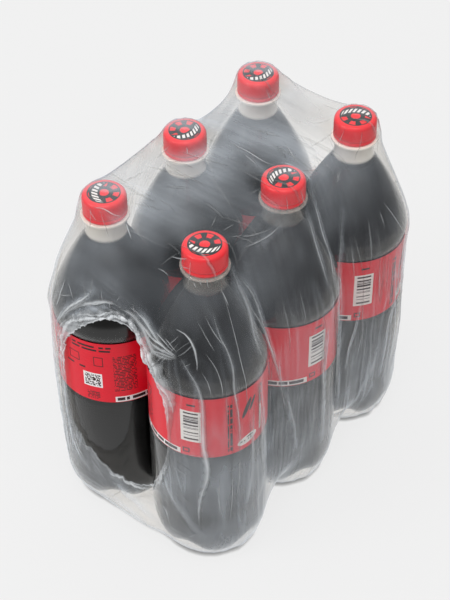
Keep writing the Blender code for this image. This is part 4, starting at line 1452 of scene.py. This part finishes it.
FOOT_HEIGHTS = (0.012, 0.05)
FOOT_MARGIN = 40
FOOT_RUNS = (3.0, 8.0)
FOOT_SLANT = 2
FOOT_LOOKS = ((0.0006, 0.0012), (0.2, 0.5))


def along_film(tree, route):
    """Points and normals of a smooth line on the film through the route."""
    length = sum((Vector(stop) - Vector(start)).length for start, stop in zip(route, route[1:]))
    line = smooth_line(route, max(int(length / CREASE_STEP), 5))
    found = [tree.find_nearest(Vector(point))[:2] for point in line]
    return np.array([place for place, _ in found]), np.array([normal for _, normal in found])


class Creases:
    """Collects closed ridges, pointed at both ends, each whitest along its crest, partly as a painted
    highlight.
    """

    def __init__(self, tree):
        self.tree, self.points, self.faces, self.whiteness = tree, [], [], []

    def add(self, route, width, whiteness):
        line, normals = along_film(self.tree, route)
        out = normals * np.where((normals * (line - PACK_MIDDLE)).sum(axis=1) < 0, -1.0, 1.0)[:, None]
        side = np.cross(np.gradient(line, axis=0), out)
        side /= np.maximum(np.linalg.norm(side, axis=1), 1e-9)[:, None]
        swell = np.sin(np.linspace(0.0, 1.0, len(line)) * math.pi) ** 0.6
        height = min(0.40 * width, 0.0007)
        first = len(self.points)
        ridge, whites = [line[0]], [0.0]
        for place, up, across, size in zip(line[1:-1], out[1:-1], side[1:-1], swell[1:-1]):
            for sideways, rise, white in CREASE_SECTION:
                ridge.append(place + across * sideways * width * size + up * rise * height * size)
                whites.append(white * whiteness * size)
        self.points += ridge + [line[-1]]
        self.whiteness += whites + [0.0]
        last = len(self.points) - 1
        count = len(CREASE_SECTION)
        for corner in range(count):
            after = (corner + 1) % count
            self.faces.append((first, first + 1 + after, first + 1 + corner))
            self.faces.append((last, last - count + corner, last - count + after))
            for here in range(first + 1, last - count, count):
                following = here + count
                self.faces.append((here + corner, here + after, following + after, following + corner))

    def add_piece(self, name):
        points = np.array(self.points)
        points[:, 2] = np.maximum(points[:, 2], TABLE_GAP)
        folded_piece(name, points, self.faces, self.whiteness)


def on_sheet(sheet, row, column):
    """A point of the film between its rows and columns."""
    rows, columns = sheet.shape[:2]
    row = min(max(row, 0.0), rows - 1.001)
    low, left = int(row), int(math.floor(column))
    up, over = row - low, column - left
    left, right = left % columns, (left + 1) % columns
    below = sheet[low, left] * (1 - over) + sheet[low, right] * over
    above = sheet[low + 1, left] * (1 - over) + sheet[low + 1, right] * over
    return below * (1 - up) + above * up


def scatter_creases(creases, sheet):
    """Smaller creases at random: on the walls and top, out from the holes, caps and feet."""
    random = np.random.default_rng(SEED)
    rows, columns = sheet.shape[:2]

    def add_one(route, looks):
        creases.add(route, *(random.uniform(*ends) for ends in looks))

    def wandering(row, column, row_run, column_run, steps=5):
        sway = random.normal(0.0, 0.9, 2)
        return [on_sheet(sheet, row + row_run * share + sway[0] * math.sin(3.0 * share),
                         column + column_run * share + 0.5 * sway[1] * math.sin(4.0 * share))
                for share in np.linspace(0.0, 1.0, steps)]

    for count, first, last, runs, margin, slant, *looks in LONG_CREASES:
        for _ in range(count):
            run = random.uniform(*runs)
            column = random.uniform(first, last - run)
            row = random.uniform(margin, rows - margin)
            add_one(wandering(row, column, random.uniform(-slant, slant), run), looks)
    for rim, inwards in ((0.0, 1.0), (rows - 1.0, -1.0)):
        for _ in range(END_CREASES):
            row = rim + inwards * random.uniform(*END_STARTS)
            column = random.uniform(0, columns)
            run = inwards * random.uniform(*END_RUNS)
            add_one(wandering(row, column, run, random.uniform(-END_SLANT, END_SLANT)), END_LOOKS)
    for place in PLACES.values():
        for _ in range(CAP_CREASES):
            turn = random.uniform(0.0, math.tau)
            reaches = np.linspace(random.uniform(*CAP_STARTS), random.uniform(*CAP_STOPS), 3)
            route = [place + Vector((math.cos(turn) * reach, math.sin(turn) * reach, height))
                     for reach, height in zip(reaches, CAP_CREASE_HEIGHTS)]
            add_one(np.array(route), CAP_LOOKS)
    low, high = FOOT_HEIGHTS
    foot_columns = [column for column in range(columns) if low < sheet[rows // 2, column, 2] < high]
    for _ in range(FOOT_CREASES):
        column = random.choice(foot_columns)
        row = random.uniform(FOOT_MARGIN, rows - FOOT_MARGIN)
        slant = random.uniform(-FOOT_SLANT, FOOT_SLANT)
        add_one(wandering(row, column, slant, random.uniform(*FOOT_RUNS), 4), FOOT_LOOKS)


def add_creases(sheet):
    tree = tree_of(sheet)
    creases = Creases(tree)
    for width, whiteness, *places in SEEN_CREASES:
        route = route_on(tree, places)
        if len(route) > 1:
            creases.add(route, CREASE_WIDTHS * width / 1000, CREASE_WHITENESS_AND_HIGHLIGHT * whiteness)
    scatter_creases(creases, sheet)
    creases.add_piece("film_creases")


add_creases(film_sheet)
